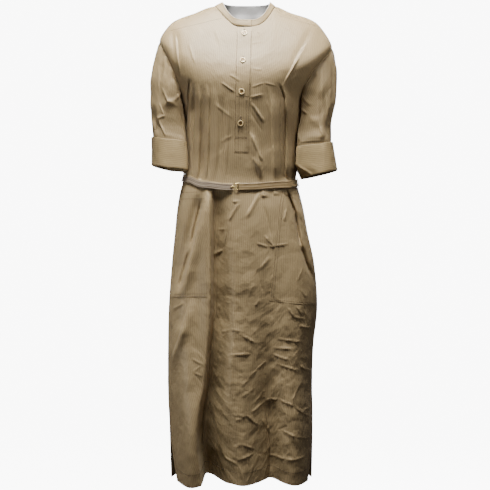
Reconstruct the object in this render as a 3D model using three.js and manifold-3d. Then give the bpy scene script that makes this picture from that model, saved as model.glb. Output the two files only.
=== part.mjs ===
import Module from 'manifold-3d';
import * as THREE from 'three';
import { mergeVertices } from 'three/addons/utils/BufferGeometryUtils.js';

// Shirt dress in cotton poplin, in the hollow form it has when it is worn: collar band, half
// placket, dropped shoulders, elbow sleeves with turned-up cuffs, thin belt, patch pockets and
// side slits.
// Millimetres. +Z is up and the front faces -Y. The origin lies between the shoulders, at the
// height of the sides of the neck, where the wearer's shoulders hold the dress.

// Walls and gaps
const CLOTH = 1.2;
const COLLAR_CLOTH = 1.0;
const SEAM_GAP = 0.3;
const PATCH_LIFT = 0.4;
const BELT_LIFT = 2.2;
const BELT_CLOTH = 1.2;

// Rows of values under named columns
function table(columns, rows) {
  return rows.map((row) => Object.fromEntries(columns.map((column, index) => [column, row[index]])));
}

// The body's cross-section is a rounded rectangle: sine and cosine to this power
const SQUARENESS = 0.8;
const SHOULDER_ROUND = 2.5;

// Sections of the body, from the neck down. drop is the way down the cloth at the side.
const SECTIONS = table(['drop', 'left', 'right', 'leftZ', 'rightZ', 'frontY', 'frontZ', 'backY', 'backZ'], [
  [0, -62, 72, 4, 4, -72, -48, 58, 4],
  [50, -115, 108, -3, -3, -86, -75, 78, -18],
  [115, -176, 171, -23, -23, -100, -105, 92, -50],
  [150, -201, 198, -46, -48, -112, -130, 98, -85],
  [185, -217, 221, -79, -94, -122, -155, 100, -120],
  [250, -200, 190, -150, -155, -128, -185, 100, -165],
  [325, -168, 148, -222, -222, -126, -225, 96, -215],
  [368, -156, 144, -265, -265, -120, -265, 90, -262],
  [433, -152, 134, -330, -330, -111, -330, 86, -330],
  [503, -150, 133, -400, -400, -105, -400, 83, -400],
  [533, -157, 130, -430, -430, -103, -430, 82, -430],
  [563, -165, 138, -460, -460, -106, -460, 90, -460],
  [603, -172, 148, -500, -500, -111, -500, 102, -500],
  [663, -178, 159, -560, -560, -115, -560, 115, -560],
  [743, -186, 176, -640, -640, -117, -640, 120, -640],
  [853, -194, 184, -750, -750, -118, -750, 120, -750],
  [953, -196, 174, -850, -850, -118, -850, 119, -850],
  [1053, -196, 171, -950, -950, -118, -950, 118, -950],
  [1153, -193, 173, -1050, -1050, -118, -1050, 118, -1050],
  [1290, -189, 171, -1187, -1187, -118, -1187, 118, -1187],
]);

// Below the underarm the cloth hangs straight, so drop and height differ by this much
const DROP_AT_ZERO = 103;
const FRONT_HEM_DROP = 1277;
const BACK_HEM_DROP = 1290;
const SLIT_DROP = 1028;

// Folds of the front and back: a line from its top to its end, a width to each side, and a depth,
// outward where it is positive. rise and fall are the shares of its length over which it fades.
const FRONT_FOLDS = table(['topX', 'topZ', 'endX', 'endZ', 'width', 'depth', 'rise', 'fall', 'name'], [
  [-150, -560, -136, -1175, 32, 42, 1, 0, 'left hem ridge'],
  [-98, -430, -73, -1175, 27, -58, 1, 0, 'left hem valley'],
  [-20, -640, -4, -1175, 30, 21, 1, 0, 'middle hem ridge'],
  [52, -560, 62, -1175, 24, -27, 1, 0, 'right hem valley'],
  [118, -520, 128, -1175, 36, 34, 1, 0, 'right hem ridge'],
  [-102, -448, -184, -726, 15, -11, 0.2, 0.3, 'left pocket valley'],
  [-150, -772, -190, -900, 14, 9, 0.3, 0.4, 'left hip ridge'],
  [112, -444, 176, -700, 14, -11, 0.15, 0.3, 'right pocket valley'],
  [134, -470, 186, -680, 11, 6, 0.3, 0.3, 'right pocket ridge'],
  [108, -235, 100, -445, 10, -9, 0.3, 0.1, 'right bodice valley'],
  [-112, -270, -108, -445, 9, -7, 0.3, 0.1, 'left bodice valley'],
  [-134, -250, -130, -440, 10, 5, 0.3, 0.15, 'left bodice ridge'],
  [14, -300, 37, -445, 9, 5, 0.4, 0.1, 'middle waist ridge'],
  [-180, -46, -168, -150, 10, -6, 0.3, 0.4, 'left shoulder crease'],
  [172, -41, 104, -175, 12, -7, 0.25, 0.4, 'right shoulder crease'],
]);
const BACK_FOLDS = table(['topX', 'topZ', 'endX', 'endZ', 'width', 'depth', 'rise', 'fall', 'name'], [
  [-120, -640, -112, -1187, 34, 20, 1, 0, 'left hem ridge'],
  [-60, -560, -52, -1187, 26, -32, 1, 0, 'left hem valley'],
  [0, -600, 8, -1187, 30, 18, 1, 0, 'middle hem ridge'],
  [62, -580, 70, -1187, 27, -30, 1, 0, 'right hem valley'],
  [118, -640, 124, -1187, 34, 18, 1, 0, 'right hem ridge'],
  [-84, -250, -72, -560, 11, -7, 0.4, 0.4, 'left waist valley'],
  [-8, -280, -6, -540, 12, -7, 0.4, 0.4, 'middle waist valley'],
  [76, -260, 66, -570, 11, -7, 0.4, 0.4, 'right waist valley'],
]);
const WAIST_Z = -440;
const WAIST_HOLD = 40;
// Steps, in degrees and millimetres, over which a normal is measured
const NORMAL_TURN_STEP = 1.5;
const NORMAL_DROP_STEP = 3;
// Cloth near the side seams is free of folds up to this cosine of the turn
const FOLD_WINDOW = 0.35;
// A fold lifts the hem where it goes in and lowers it where it comes out
const HEM_LIFT = 0.2;
const HEM_LIFT_START = 700;

// Armhole: an oval in turn (degrees round the body) and drop
const ARMHOLE_DROP = 255;
const ARMHOLE_HALF_DROP = 70;
const ARMHOLE_FRONT_TURN = 30;
const ARMHOLE_BACK_TURN = 26;
// Round the armhole, 0 is the top and the front is positive
const SHOULDER_SEAM_ANGLE = -10;
const UNDERARM_ANGLE = 180;
// Shoulder seam: from the neck, forward of the shoulder, back to the armhole
const NECK_SEAM_TURN = 65;
const SHOULDER_SEAM_SWING = 2.2;

// Grid of the panels
const ARMHOLE_ROWS = 10;
const SIDE_DROPS = [325, 370, 415, 465, 510, 533, 568, 620, 670, 720, 770, 825, 890, 960, 1028];
const SLIT_ROWS = 5;
const SHOULDER_COLUMNS = 8;
const NECK_COLUMNS_FRONT = 12;
const NECK_COLUMNS_BACK = 12;
const ARMHOLE_SHARE = 0.18;
const LEVEL_DROP = 560;
const LEVELLING = 5;
const TURN_LEVELLING = 1.8;

// Hem corners at the slits
const FRONT_HEM_LEFT_X = -168;
const FRONT_HEM_RIGHT_X = 156;
const BACK_SLIT_TURN = 2;
const SLIT_OPENING = 1.2;

const CUTTER_DEPTH = 400;
const WELD = 1e-4;

const KHAKI = new THREE.Color(0xb09a76);
const KHAKI_BAND = new THREE.Color(0xa8926d);
const PALE_GREY = new THREE.Color(0xb4b3b6);
const IVORY = new THREE.Color(0xddd0ad);
const PALE_GOLD = new THREE.Color(0xb9a878);

const wasm = await Module();
wasm.setup();

function clothMaterial(color) {
  return new THREE.MeshStandardMaterial({ color, roughness: 0.82, metalness: 0 });
}

function radians(degrees) {
  return THREE.MathUtils.degToRad(degrees);
}

function ease(low, high, value) {
  return THREE.MathUtils.smoothstep(value, low, high);
}

function signedPower(value, power) {
  return Math.sign(value) * Math.abs(value) ** power;
}

// One column of the sections as a smooth curve over the drop
function sectionAt(column, drop) {
  const last = SECTIONS.length - 1;
  let row = 0;
  while (row < last - 1 && SECTIONS[row + 1].drop < drop) {
    row += 1;
  }
  const slope = (index) => {
    const before = SECTIONS[Math.max(index - 1, 0)];
    const after = SECTIONS[Math.min(index + 1, last)];
    return (after[column] - before[column]) / (after.drop - before.drop);
  };
  const from = SECTIONS[row];
  const to = SECTIONS[row + 1];
  const span = to.drop - from.drop;
  const share = THREE.MathUtils.clamp((drop - from.drop) / span, 0, 1);
  const square = share * share;
  const cube = square * share;
  return (2 * cube - 3 * square + 1) * from[column]
    + (cube - 2 * square + share) * span * slope(row)
    + (3 * square - 2 * cube) * to[column]
    + (cube - square) * span * slope(row + 1);
}

// The belt holds outward folds down
function beltHold(z) {
  return 1 - Math.exp(-(((z - WAIST_Z) / WAIST_HOLD) ** 2));
}

function foldDepth(folds, x, z) {
  let depth = 0;
  for (const fold of folds) {
    const along = (fold.topZ - z) / (fold.topZ - fold.endZ);
    const lineX = THREE.MathUtils.lerp(fold.topX, fold.endX, along);
    const fadeIn = ease(0, fold.rise, along);
    const fadeOut = fold.fall > 0 ? 1 - ease(1 - fold.fall, 1, along) : 1;
    const held = fold.depth > 0 ? beltHold(z) : 1;
    depth += held * fold.depth * fadeIn * fadeOut * Math.exp(-(((x - lineX) / fold.width) ** 2));
  }
  return depth;
}

// The body's surface. turn is in degrees: 0 is the front, -90 the left of the picture, -180 the
// back and +90 or -270 the right.
function bodyPoint(turn, drop, folded = 1) {
  const sine = Math.sin(radians(turn));
  const cosine = Math.cos(radians(turn));
  const left = sectionAt('left', drop);
  const right = sectionAt('right', drop);
  const onFront = cosine >= 0;
  const across = signedPower(sine, SQUARENESS);
  const x = (left + right) / 2 + (right - left) / 2 * across;
  const depth = sectionAt(onFront ? 'frontY' : 'backY', drop);
  const middleZ = sectionAt(onFront ? 'frontZ' : 'backZ', drop);
  const sideZ = sectionAt(sine < 0 ? 'leftZ' : 'rightZ', drop);
  const z = middleZ + (sideZ - middleZ) * Math.abs(sine) ** SHOULDER_ROUND;
  const window = ease(0, FOLD_WINDOW, Math.abs(cosine));
  const fold = folded * window * foldDepth(onFront ? FRONT_FOLDS : BACK_FOLDS, x, z);
  const outward = onFront ? -1 : 1;
  const lift = HEM_LIFT * ease(HEM_LIFT_START, FRONT_HEM_DROP, drop);
  return new THREE.Vector3(x, depth * Math.abs(cosine) ** SQUARENESS + outward * fold, z - lift * fold);
}

function bodyNormal(turn, drop, folded = 1) {
  const above = Math.max(drop - NORMAL_DROP_STEP, 0);
  const down = bodyPoint(turn, drop + NORMAL_DROP_STEP, folded).sub(bodyPoint(turn, above, folded));
  const after = bodyPoint(turn + NORMAL_TURN_STEP, drop, folded);
  const round = after.sub(bodyPoint(turn - NORMAL_TURN_STEP, drop, folded));
  return down.cross(round).normalize();
}

// The turn at which the front has a given x
function frontTurnAt(x, drop) {
  const left = sectionAt('left', drop);
  const right = sectionAt('right', drop);
  const across = (2 * x - left - right) / (right - left);
  const sine = signedPower(THREE.MathUtils.clamp(across, -1, 1), 1 / SQUARENESS);
  return THREE.MathUtils.radToDeg(Math.asin(sine));
}

// A point of the armhole, as turn and drop. side is -1 on the picture's left and 1 on its right.
function armholeAt(side, angle) {
  const sine = Math.sin(radians(angle));
  const width = sine > 0 ? ARMHOLE_FRONT_TURN : ARMHOLE_BACK_TURN;
  return {
    turn: side * (90 - width * sine),
    drop: ARMHOLE_DROP - ARMHOLE_HALF_DROP * Math.cos(radians(angle)),
  };
}

const SHOULDER_POINT = armholeAt(-1, SHOULDER_SEAM_ANGLE);

// The shoulder seam on the picture's left: share 0 at the armhole, 1 at the neck
function shoulderSeamAt(share) {
  const way = 1 - share;
  const swing = Math.abs(SHOULDER_POINT.turn) - NECK_SEAM_TURN;
  return {
    turn: -NECK_SEAM_TURN - swing * way ** SHOULDER_SEAM_SWING,
    drop: SHOULDER_POINT.drop * way,
  };
}

// The rows that front and back share at the side, then those along the slit
function sideRows(arcEnd, hemDrop, cornerTurn) {
  const rows = [];
  for (let row = 0; row <= ARMHOLE_ROWS; row += 1) {
    const angle = THREE.MathUtils.lerp(SHOULDER_SEAM_ANGLE, arcEnd, row / ARMHOLE_ROWS);
    rows.push({ ...armholeAt(-1, angle), share: ARMHOLE_SHARE * row / ARMHOLE_ROWS });
  }
  const underarm = SIDE_DROPS[0];
  const shareAt = (drop) => THREE.MathUtils.lerp(ARMHOLE_SHARE, 1, (drop - underarm) / (hemDrop - underarm));
  for (const drop of SIDE_DROPS.slice(1)) {
    rows.push({ turn: -90, drop, share: shareAt(drop) });
  }
  for (let row = 1; row <= SLIT_ROWS; row += 1) {
    const along = row / SLIT_ROWS;
    const drop = THREE.MathUtils.lerp(SLIT_DROP, hemDrop, along);
    const turn = THREE.MathUtils.lerp(-90, cornerTurn, along ** SLIT_OPENING);
    rows.push({ turn, drop, share: shareAt(drop) });
  }
  return rows;
}

// How far a row still follows the neck and shoulders: 1 at the top, 0 below the waist
function neckWeight(share, hemDrop) {
  const underarm = SIDE_DROPS[0];
  const level = THREE.MathUtils.lerp(ARMHOLE_SHARE, 1, (LEVEL_DROP - underarm) / (hemDrop - underarm));
  return Math.max(0, 1 - share / level) ** LEVELLING;
}

// A panel between its two sides, its top line and its hem, as a grid of surface points
function panelGrid(firstSide, lastSide, top, hem, hemDrop) {
  const columns = top.length - 1;
  const points = [];
  const normals = [];
  firstSide.forEach((first, row) => {
    const last = lastSide[row];
    const dropWeight = neckWeight(first.share, hemDrop);
    const turnWeight = dropWeight ** TURN_LEVELLING;
    const pointRow = [];
    const normalRow = [];
    for (let column = 0; column <= columns; column += 1) {
      const share = column / columns;
      const blend = (key, weight) => {
        const straight = THREE.MathUtils.lerp(first[key], last[key], share);
        const topBow = top[column][key] - THREE.MathUtils.lerp(top[0][key], top[columns][key], share);
        const hemBow = hem[column][key] - THREE.MathUtils.lerp(hem[0][key], hem[columns][key], share);
        return straight + weight * topBow + (1 - weight) * hemBow;
      };
      const turn = blend('turn', turnWeight);
      const drop = blend('drop', dropWeight);
      pointRow.push(bodyPoint(turn, drop));
      normalRow.push(bodyNormal(turn, drop));
    }
    points.push(pointRow);
    normals.push(normalRow);
  });
  return { points, normals };
}

function range(count) {
  return Array.from({ length: count + 1 }, (unused, index) => index / count);
}

function mirrored(place) {
  return { ...place, turn: -place.turn };
}

function fromBehind(place) {
  return { ...place, turn: place.turn - 360 };
}

function frontGrid() {
  const shoulder = range(SHOULDER_COLUMNS).map(shoulderSeamAt);
  const neck = range(NECK_COLUMNS_FRONT).slice(1, -1).map((share) => ({
    turn: THREE.MathUtils.lerp(-NECK_SEAM_TURN, NECK_SEAM_TURN, share),
    drop: 0,
  }));
  const top = [...shoulder, ...neck, ...shoulder.map(mirrored).reverse()];
  const hem = range(top.length - 1).map((share) => ({
    turn: frontTurnAt(THREE.MathUtils.lerp(FRONT_HEM_LEFT_X, FRONT_HEM_RIGHT_X, share), FRONT_HEM_DROP),
    drop: FRONT_HEM_DROP,
  }));
  const left = sideRows(UNDERARM_ANGLE, FRONT_HEM_DROP, hem[0].turn);
  const right = sideRows(UNDERARM_ANGLE, FRONT_HEM_DROP, -hem[hem.length - 1].turn).map(mirrored);
  return panelGrid(left, right, top, hem, FRONT_HEM_DROP);
}

function backGrid() {
  const shoulder = range(SHOULDER_COLUMNS).map(shoulderSeamAt);
  const neck = range(NECK_COLUMNS_BACK).slice(1, -1).map((share) => ({
    turn: THREE.MathUtils.lerp(NECK_SEAM_TURN - 360, -NECK_SEAM_TURN, share),
    drop: 0,
  }));
  const top = [...shoulder.map(mirrored).map(fromBehind), ...neck, ...shoulder.reverse()];
  const cornerTurn = -90 - BACK_SLIT_TURN;
  const cornerSine = signedPower(Math.sin(radians(cornerTurn)), SQUARENESS);
  const hem = range(top.length - 1).map((share) => {
    const sine = signedPower(THREE.MathUtils.lerp(-cornerSine, cornerSine, share), 1 / SQUARENESS);
    return { turn: -180 - THREE.MathUtils.radToDeg(Math.asin(sine)), drop: BACK_HEM_DROP };
  });
  const left = sideRows(-UNDERARM_ANGLE, BACK_HEM_DROP, cornerTurn);
  const right = left.map(mirrored).map(fromBehind);
  return panelGrid(right, left, top, hem, BACK_HEM_DROP);
}

// Moves the edge of a grid in, for the gap at a seam
function trimmed(grid, amount) {
  const { points, normals } = grid;
  const lastRow = points.length - 1;
  const lastColumn = points[0].length - 1;
  const pulled = (point, inner) => inner.clone().sub(point).setLength(amount).add(point);
  const out = points.map((row) => row.map((point) => point.clone()));
  for (let row = 0; row <= lastRow; row += 1) {
    out[row][0] = pulled(points[row][0], points[row][1]);
    out[row][lastColumn] = pulled(points[row][lastColumn], points[row][lastColumn - 1]);
  }
  for (let column = 0; column <= lastColumn; column += 1) {
    const up = points[1][column].clone().sub(points[0][column]).setLength(amount);
    const down = points[lastRow - 1][column].clone().sub(points[lastRow][column]).setLength(amount);
    out[0][column].add(up);
    out[lastRow][column].add(down);
  }
  return { points: out, normals };
}

// Normals of a grid from its own points. Rows run down and columns to the right, seen from outside.
function gridNormals(points, closed) {
  const lastRow = points.length - 1;
  const columns = points[0].length;
  return points.map((row, rowIndex) => row.map((point, column) => {
    const next = closed ? (column + 1) % columns : Math.min(column + 1, columns - 1);
    const before = closed ? (column + columns - 1) % columns : Math.max(column - 1, 0);
    const above = points[Math.max(rowIndex - 1, 0)][column];
    const below = points[Math.min(rowIndex + 1, lastRow)][column];
    const down = below.clone().sub(above);
    return down.cross(row[next].clone().sub(row[before])).normalize();
  }));
}

// A closed wall: the grid is its outer face, and the inner face lies one thickness inside
function wall(grid, thickness, closed = false) {
  const { points, normals } = grid;
  const rows = points.length;
  const columns = points[0].length;
  const positions = [];
  for (const depth of [0, thickness]) {
    points.forEach((row, rowIndex) => row.forEach((point, column) => {
      const inner = point.clone().addScaledVector(normals[rowIndex][column], -depth);
      positions.push(inner.x, inner.y, inner.z);
    }));
  }
  const outer = (row, column) => row * columns + (column % columns);
  const inner = (row, column) => rows * columns + outer(row, column);
  const faces = [];
  const quad = (a, b, c, d) => faces.push(a, b, c, a, c, d);
  const spans = closed ? columns : columns - 1;
  for (let row = 0; row < rows - 1; row += 1) {
    for (let column = 0; column < spans; column += 1) {
      const next = column + 1;
      quad(outer(row, column), outer(row + 1, column), outer(row + 1, next), outer(row, next));
      faces.push(inner(row, column), inner(row + 1, next), inner(row + 1, column));
      faces.push(inner(row, column), inner(row, next), inner(row + 1, next));
    }
    if (!closed) {
      const last = columns - 1;
      quad(outer(row, 0), inner(row, 0), inner(row + 1, 0), outer(row + 1, 0));
      quad(outer(row, last), outer(row + 1, last), inner(row + 1, last), inner(row, last));
    }
  }
  const bottom = rows - 1;
  for (let column = 0; column < spans; column += 1) {
    const next = column + 1;
    quad(outer(0, column), outer(0, next), inner(0, next), inner(0, column));
    quad(outer(bottom, column), inner(bottom, column), inner(bottom, next), outer(bottom, next));
  }
  const geometry = new THREE.BufferGeometry();
  geometry.setAttribute('position', new THREE.Float32BufferAttribute(positions, 3));
  geometry.setIndex(faces);
  return geometry;
}

function welded(geometry) {
  geometry.deleteAttribute('normal');
  geometry.deleteAttribute('uv');
  return mergeVertices(geometry, WELD);
}

function solidOf(geometry) {
  const merged = welded(geometry);
  return new wasm.Manifold(new wasm.Mesh({
    numProp: 3,
    vertProperties: merged.attributes.position.array,
    triVerts: Uint32Array.from(merged.index.array),
  }));
}

function geometryOf(solid) {
  const mesh = solid.getMesh();
  const geometry = new THREE.BufferGeometry();
  geometry.setAttribute('position', new THREE.BufferAttribute(mesh.vertProperties, 3));
  geometry.setIndex(Array.from(mesh.triVerts));
  return geometry;
}

function piece(name, geometry, material) {
  geometry.computeVertexNormals();
  const mesh = new THREE.Mesh(geometry, material);
  mesh.name = name;
  return mesh;
}

// A point and a normal between the grid's own, at a fractional row and column
function onGrid(grid, row, column) {
  const mix = (field) => {
    const rowBase = Math.min(Math.floor(row), field.length - 2);
    const columnBase = Math.min(Math.floor(column), field[0].length - 2);
    const along = (line) => line[columnBase].clone().lerp(line[columnBase + 1], column - columnBase);
    return along(field[rowBase]).lerp(along(field[rowBase + 1]), row - rowBase);
  };
  return { point: mix(grid.points), normal: mix(grid.normals).normalize() };
}

// The fractional column of a panel's row that has a given x
function columnAtX(grid, row, x) {
  const last = grid.points[0].length - 1;
  let column = 0;
  while (column < last - 1 && onGrid(grid, row, column + 1).point.x < x) {
    column += 1;
  }
  const from = onGrid(grid, row, column).point.x;
  const to = onGrid(grid, row, column + 1).point.x;
  return column + THREE.MathUtils.clamp((x - from) / (to - from), 0, 1);
}

// The fractional row at which a column reaches a given height
function rowAtZ(grid, column, z) {
  const last = grid.points.length - 1;
  let row = 0;
  while (row < last - 1 && onGrid(grid, row + 1, column).point.z > z) {
    row += 1;
  }
  const from = onGrid(grid, row, column).point.z;
  const to = onGrid(grid, row + 1, column).point.z;
  return row + THREE.MathUtils.clamp((z - from) / (to - from), 0, 1);
}

// Cloth that lies on the front: the panel's own points moved out, cut to an outline in X and Z
function layerOnFront(front, rows, columns, outline) {
  const places = rows.map((row) => columns.map((column) => onGrid(front, row, column)));
  const points = places.map((row) => row.map((place) => (
    place.point.clone().addScaledVector(place.normal, PATCH_LIFT + CLOTH)
  )));
  const normals = places.map((row) => row.map((place) => place.normal));
  const shape = new THREE.Shape(outline.map(([x, z]) => new THREE.Vector2(x, z)));
  const prism = new THREE.ExtrudeGeometry(shape, { depth: CUTTER_DEPTH, bevelEnabled: false });
  const cloth = solidOf(wall({ points, normals }, CLOTH));
  return geometryOf(cloth.intersect(solidOf(prism.rotateX(Math.PI / 2))));
}

function wholeNumbers(first, last) {
  return Array.from({ length: last - first + 1 }, (unused, index) => first + index);
}

// Placket: its edges in X at the collar and at its end
const PLACKET = { topZ: -50, topLeft: -20, topRight: 17, endZ: -368, endLeft: -26, endRight: 9 };
const PLACKET_LAST_ROW = 15;
const PLACKET_COLUMNS_BESIDE = 4;

function placket(front) {
  const middle = (front.points[0].length - 1) / 2;
  const columns = wholeNumbers(middle - PLACKET_COLUMNS_BESIDE, middle + PLACKET_COLUMNS_BESIDE);
  const outline = [
    [PLACKET.endLeft, PLACKET.endZ],
    [PLACKET.endRight, PLACKET.endZ],
    [PLACKET.topRight, PLACKET.topZ],
    [PLACKET.topLeft, PLACKET.topZ],
  ];
  return layerOnFront(front, wholeNumbers(0, PLACKET_LAST_ROW), columns, outline);
}

// Patch pockets: the outer edge is caught in the side seam
const POCKETS = table(['name', 'side', 'topZ', 'endInnerZ', 'endOuterZ', 'topInnerX', 'endInnerX'], [
  ['pocket_left', -1, -465, -722, -724, -98, -91],
  ['pocket_right', 1, -461, -731, -745, 93, 59],
]);
const POCKET_ROWS = wholeNumbers(15, 22);
const POCKET_COLUMNS = [0.3, ...wholeNumbers(1, 11)];
const POCKET_OUTER_X = 230;

function pocket(front, shape) {
  const lastColumn = front.points[0].length - 1;
  const right = shape.side > 0;
  const columns = right ? POCKET_COLUMNS.map((column) => lastColumn - column).reverse() : POCKET_COLUMNS;
  const outerX = shape.side * POCKET_OUTER_X;
  const outline = [
    [outerX, shape.endOuterZ],
    [shape.endInnerX, shape.endInnerZ],
    [shape.topInnerX, shape.topZ],
    [outerX, shape.topZ],
  ];
  return layerOnFront(front, POCKET_ROWS, columns, right ? outline.reverse() : outline);
}

// Sleeves: the rings at the top and at the end of each cuff. tilt raises the outer side.
const SLEEVE_COLUMNS = ['name', 'side', 'tilt', 'topX', 'topZ', 'topWidth', 'endX', 'endZ', 'endWidth'];
const SLEEVES = table(SLEEVE_COLUMNS, [
  ['left', -1, 12, -196, -330, 38, -191, -402, 43],
  ['right', 1, 13, 184, -343, 36, 189, -415, 43],
]);
const SLEEVE_DEPTH_TOP = 58;
const SLEEVE_DEPTH_END = 61;
const SLEEVE_Y = -8;
const SLEEVE_ROWS = [0, 0.06, 0.18, 0.34, 0.5, 0.66, 0.82, 1];
const SLEEVE_IN_CUFF = [0.45, 0.985];
const SLEEVE_LEAN = 0.27;
const SLEEVE_TOP_LEAN = 0.15;
const CUFF_STEP = 4;
const RING_SQUARENESS = 0.85;
const BODY_CLEARANCE = 10;
const CUFF_ROWS = [
  { share: 0, step: CUFF_STEP },
  { share: 0.33, step: CUFF_STEP },
  { share: 0.67, step: CUFF_STEP },
  { share: 0.98, step: CUFF_STEP },
  { share: 1.009, step: CUFF_STEP - 1.4 },
  { share: 1.009, step: -1 },
];
// Soft folds of the sleeves: where they are round the sleeve and down it, and how deep
const SLEEVE_FOLDS = [
  { angle: 48, share: 0.82, angleWidth: 16, shareWidth: 0.12, depth: -6 },
  { angle: 70, share: 0.55, angleWidth: 14, shareWidth: 0.2, depth: -4 },
  { angle: 110, share: 0.6, angleWidth: 14, shareWidth: 0.3, depth: -5 },
  { angle: 20, share: 0.45, angleWidth: 14, shareWidth: 0.25, depth: 3 },
  { angle: 230, share: 0.6, angleWidth: 16, shareWidth: 0.25, depth: -5 },
  { angle: 300, share: 0.55, angleWidth: 15, shareWidth: 0.25, depth: -5 },
];

// The angles round the armhole that the front and back panels have points at
function sleeveAngles() {
  const { lerp } = THREE.MathUtils;
  const front = range(ARMHOLE_ROWS).map((share) => lerp(SHOULDER_SEAM_ANGLE, UNDERARM_ANGLE, share));
  const back = range(ARMHOLE_ROWS).slice(1, -1).map((share) => (
    lerp(UNDERARM_ANGLE, 360 + SHOULDER_SEAM_ANGLE, share)
  ));
  return [...front, ...back];
}

function cuffPoint(sleeve, angle, share, step) {
  const tilt = radians(sleeve.tilt);
  const width = THREE.MathUtils.lerp(sleeve.topWidth, sleeve.endWidth, share) + step;
  const depth = THREE.MathUtils.lerp(SLEEVE_DEPTH_TOP, SLEEVE_DEPTH_END, share) + step;
  const outward = width * signedPower(Math.cos(radians(angle)), RING_SQUARENESS);
  const forward = depth * signedPower(Math.sin(radians(angle)), RING_SQUARENESS);
  return new THREE.Vector3(
    THREE.MathUtils.lerp(sleeve.topX, sleeve.endX, share) + sleeve.side * outward * Math.cos(tilt),
    SLEEVE_Y - forward,
    THREE.MathUtils.lerp(sleeve.topZ, sleeve.endZ, share) + outward * Math.sin(tilt),
  );
}

// Keeps a sleeve point beside the body
function besideBody(point, side, clearance) {
  const drop = Math.max(DROP_AT_ZERO - point.z, SIDE_DROPS[0]);
  const left = sectionAt('left', drop);
  const right = sectionAt('right', drop);
  const depth = Math.abs(sectionAt(point.y < 0 ? 'frontY' : 'backY', drop));
  const share = Math.min(Math.abs(point.y) / depth, 1);
  const across = (1 - share ** (2 / SQUARENESS)) ** (SQUARENESS / 2);
  const edge = (left + right) / 2 + side * ((right - left) / 2 * across + clearance);
  return side * point.x < side * edge ? new THREE.Vector3(edge, point.y, point.z) : point;
}

function sleevePoint(sleeve, angle, share) {
  const place = armholeAt(sleeve.side, angle);
  const seam = bodyPoint(place.turn, place.drop);
  const cosine = Math.cos(radians(angle));
  const away = new THREE.Vector3(sleeve.side * (SLEEVE_LEAN + SLEEVE_TOP_LEAN * cosine), 0, -1).normalize();
  seam.addScaledVector(away, SEAM_GAP / 2);
  seam.addScaledVector(bodyNormal(place.turn, place.drop), SEAM_GAP * (1 - cosine) / 2);
  const end = cuffPoint(sleeve, angle, 0, 0);
  const reach = end.distanceTo(seam);
  const axis = new THREE.Vector3(sleeve.endX - sleeve.topX, 0, sleeve.endZ - sleeve.topZ).normalize();
  const square = share * share;
  const cube = square * share;
  const point = seam.multiplyScalar(2 * cube - 3 * square + 1)
    .addScaledVector(away, reach * (cube - 2 * square + share))
    .addScaledVector(end, 3 * square - 2 * cube)
    .addScaledVector(axis, reach * (cube - square));
  let fold = 0;
  for (const shape of SLEEVE_FOLDS) {
    const turned = THREE.MathUtils.euclideanModulo(angle - shape.angle + 180, 360) - 180;
    const apart = (turned / shape.angleWidth) ** 2 + ((share - shape.share) / shape.shareWidth) ** 2;
    fold += shape.depth * Math.exp(-apart);
  }
  fold *= ease(0, 0.15, share) * (1 - ease(0.9, 1, share));
  point.x += sleeve.side * cosine * fold;
  point.y -= Math.sin(radians(angle)) * fold;
  return besideBody(point, sleeve.side, (BODY_CLEARANCE + CUFF_STEP) * ease(0, 1, share));
}

// Rings run so that their columns go to the right, seen from outside
function ringOrder(side, angles) {
  return side < 0 ? angles : [...angles].reverse();
}

function sleeveGeometry(sleeve) {
  const angles = ringOrder(sleeve.side, sleeveAngles());
  const points = SLEEVE_ROWS.map((share) => angles.map((angle) => sleevePoint(sleeve, angle, share)));
  for (const share of SLEEVE_IN_CUFF) {
    points.push(angles.map((angle) => (
      besideBody(cuffPoint(sleeve, angle, share, 0), sleeve.side, BODY_CLEARANCE + CUFF_STEP)
    )));
  }
  return wall({ points, normals: gridNormals(points, true) }, CLOTH, true);
}

function cuffGeometry(sleeve) {
  const angles = ringOrder(sleeve.side, sleeveAngles());
  const points = CUFF_ROWS.map(({ share, step }) => angles.map((angle) => (
    besideBody(cuffPoint(sleeve, angle, share, step), sleeve.side, BODY_CLEARANCE + CUFF_STEP - step)
  )));
  return wall({ points, normals: gridNormals(points, true) }, CLOTH, true);
}

// Collar band: it starts at its free end on the right, lies over its own under end, and goes
// round the left side and the back
const COLLAR_END_TURN = 6.7;
const COLLAR_UNDER_TURN = -372;
const COLLAR_LAP = 3.2;
const COLLAR_LAP_FADE = 45;
const COLLAR_HEIGHT_FRONT = 20;
const COLLAR_HEIGHT_BACK = 23;
const COLLAR_LEAN = 5;
const COLLAR_LEAN_CURVE = 1.5;
// The collar's edge leans towards the middle of the neck, along the cloth just below it
const NECK_MIDDLE = { x: 5, y: -7 };
const COLLAR_BASE_DROP = 12;
const COLLAR_SEAM_LIFT = 0.4;

function collarTurns() {
  const turns = [COLLAR_END_TURN];
  for (const share of range(NECK_COLUMNS_FRONT)) {
    turns.push(THREE.MathUtils.lerp(NECK_SEAM_TURN, -NECK_SEAM_TURN, share));
  }
  for (const share of range(NECK_COLUMNS_BACK).slice(1)) {
    turns.push(THREE.MathUtils.lerp(-NECK_SEAM_TURN, NECK_SEAM_TURN - 360, share));
  }
  for (const share of range(NECK_COLUMNS_FRONT).slice(1)) {
    turns.push(THREE.MathUtils.lerp(NECK_SEAM_TURN, -NECK_SEAM_TURN, share) - 360);
  }
  turns.push(COLLAR_UNDER_TURN);
  const between = turns.filter((turn) => turn <= COLLAR_END_TURN && turn >= COLLAR_UNDER_TURN);
  return between.sort((a, b) => a - b);
}

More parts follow.
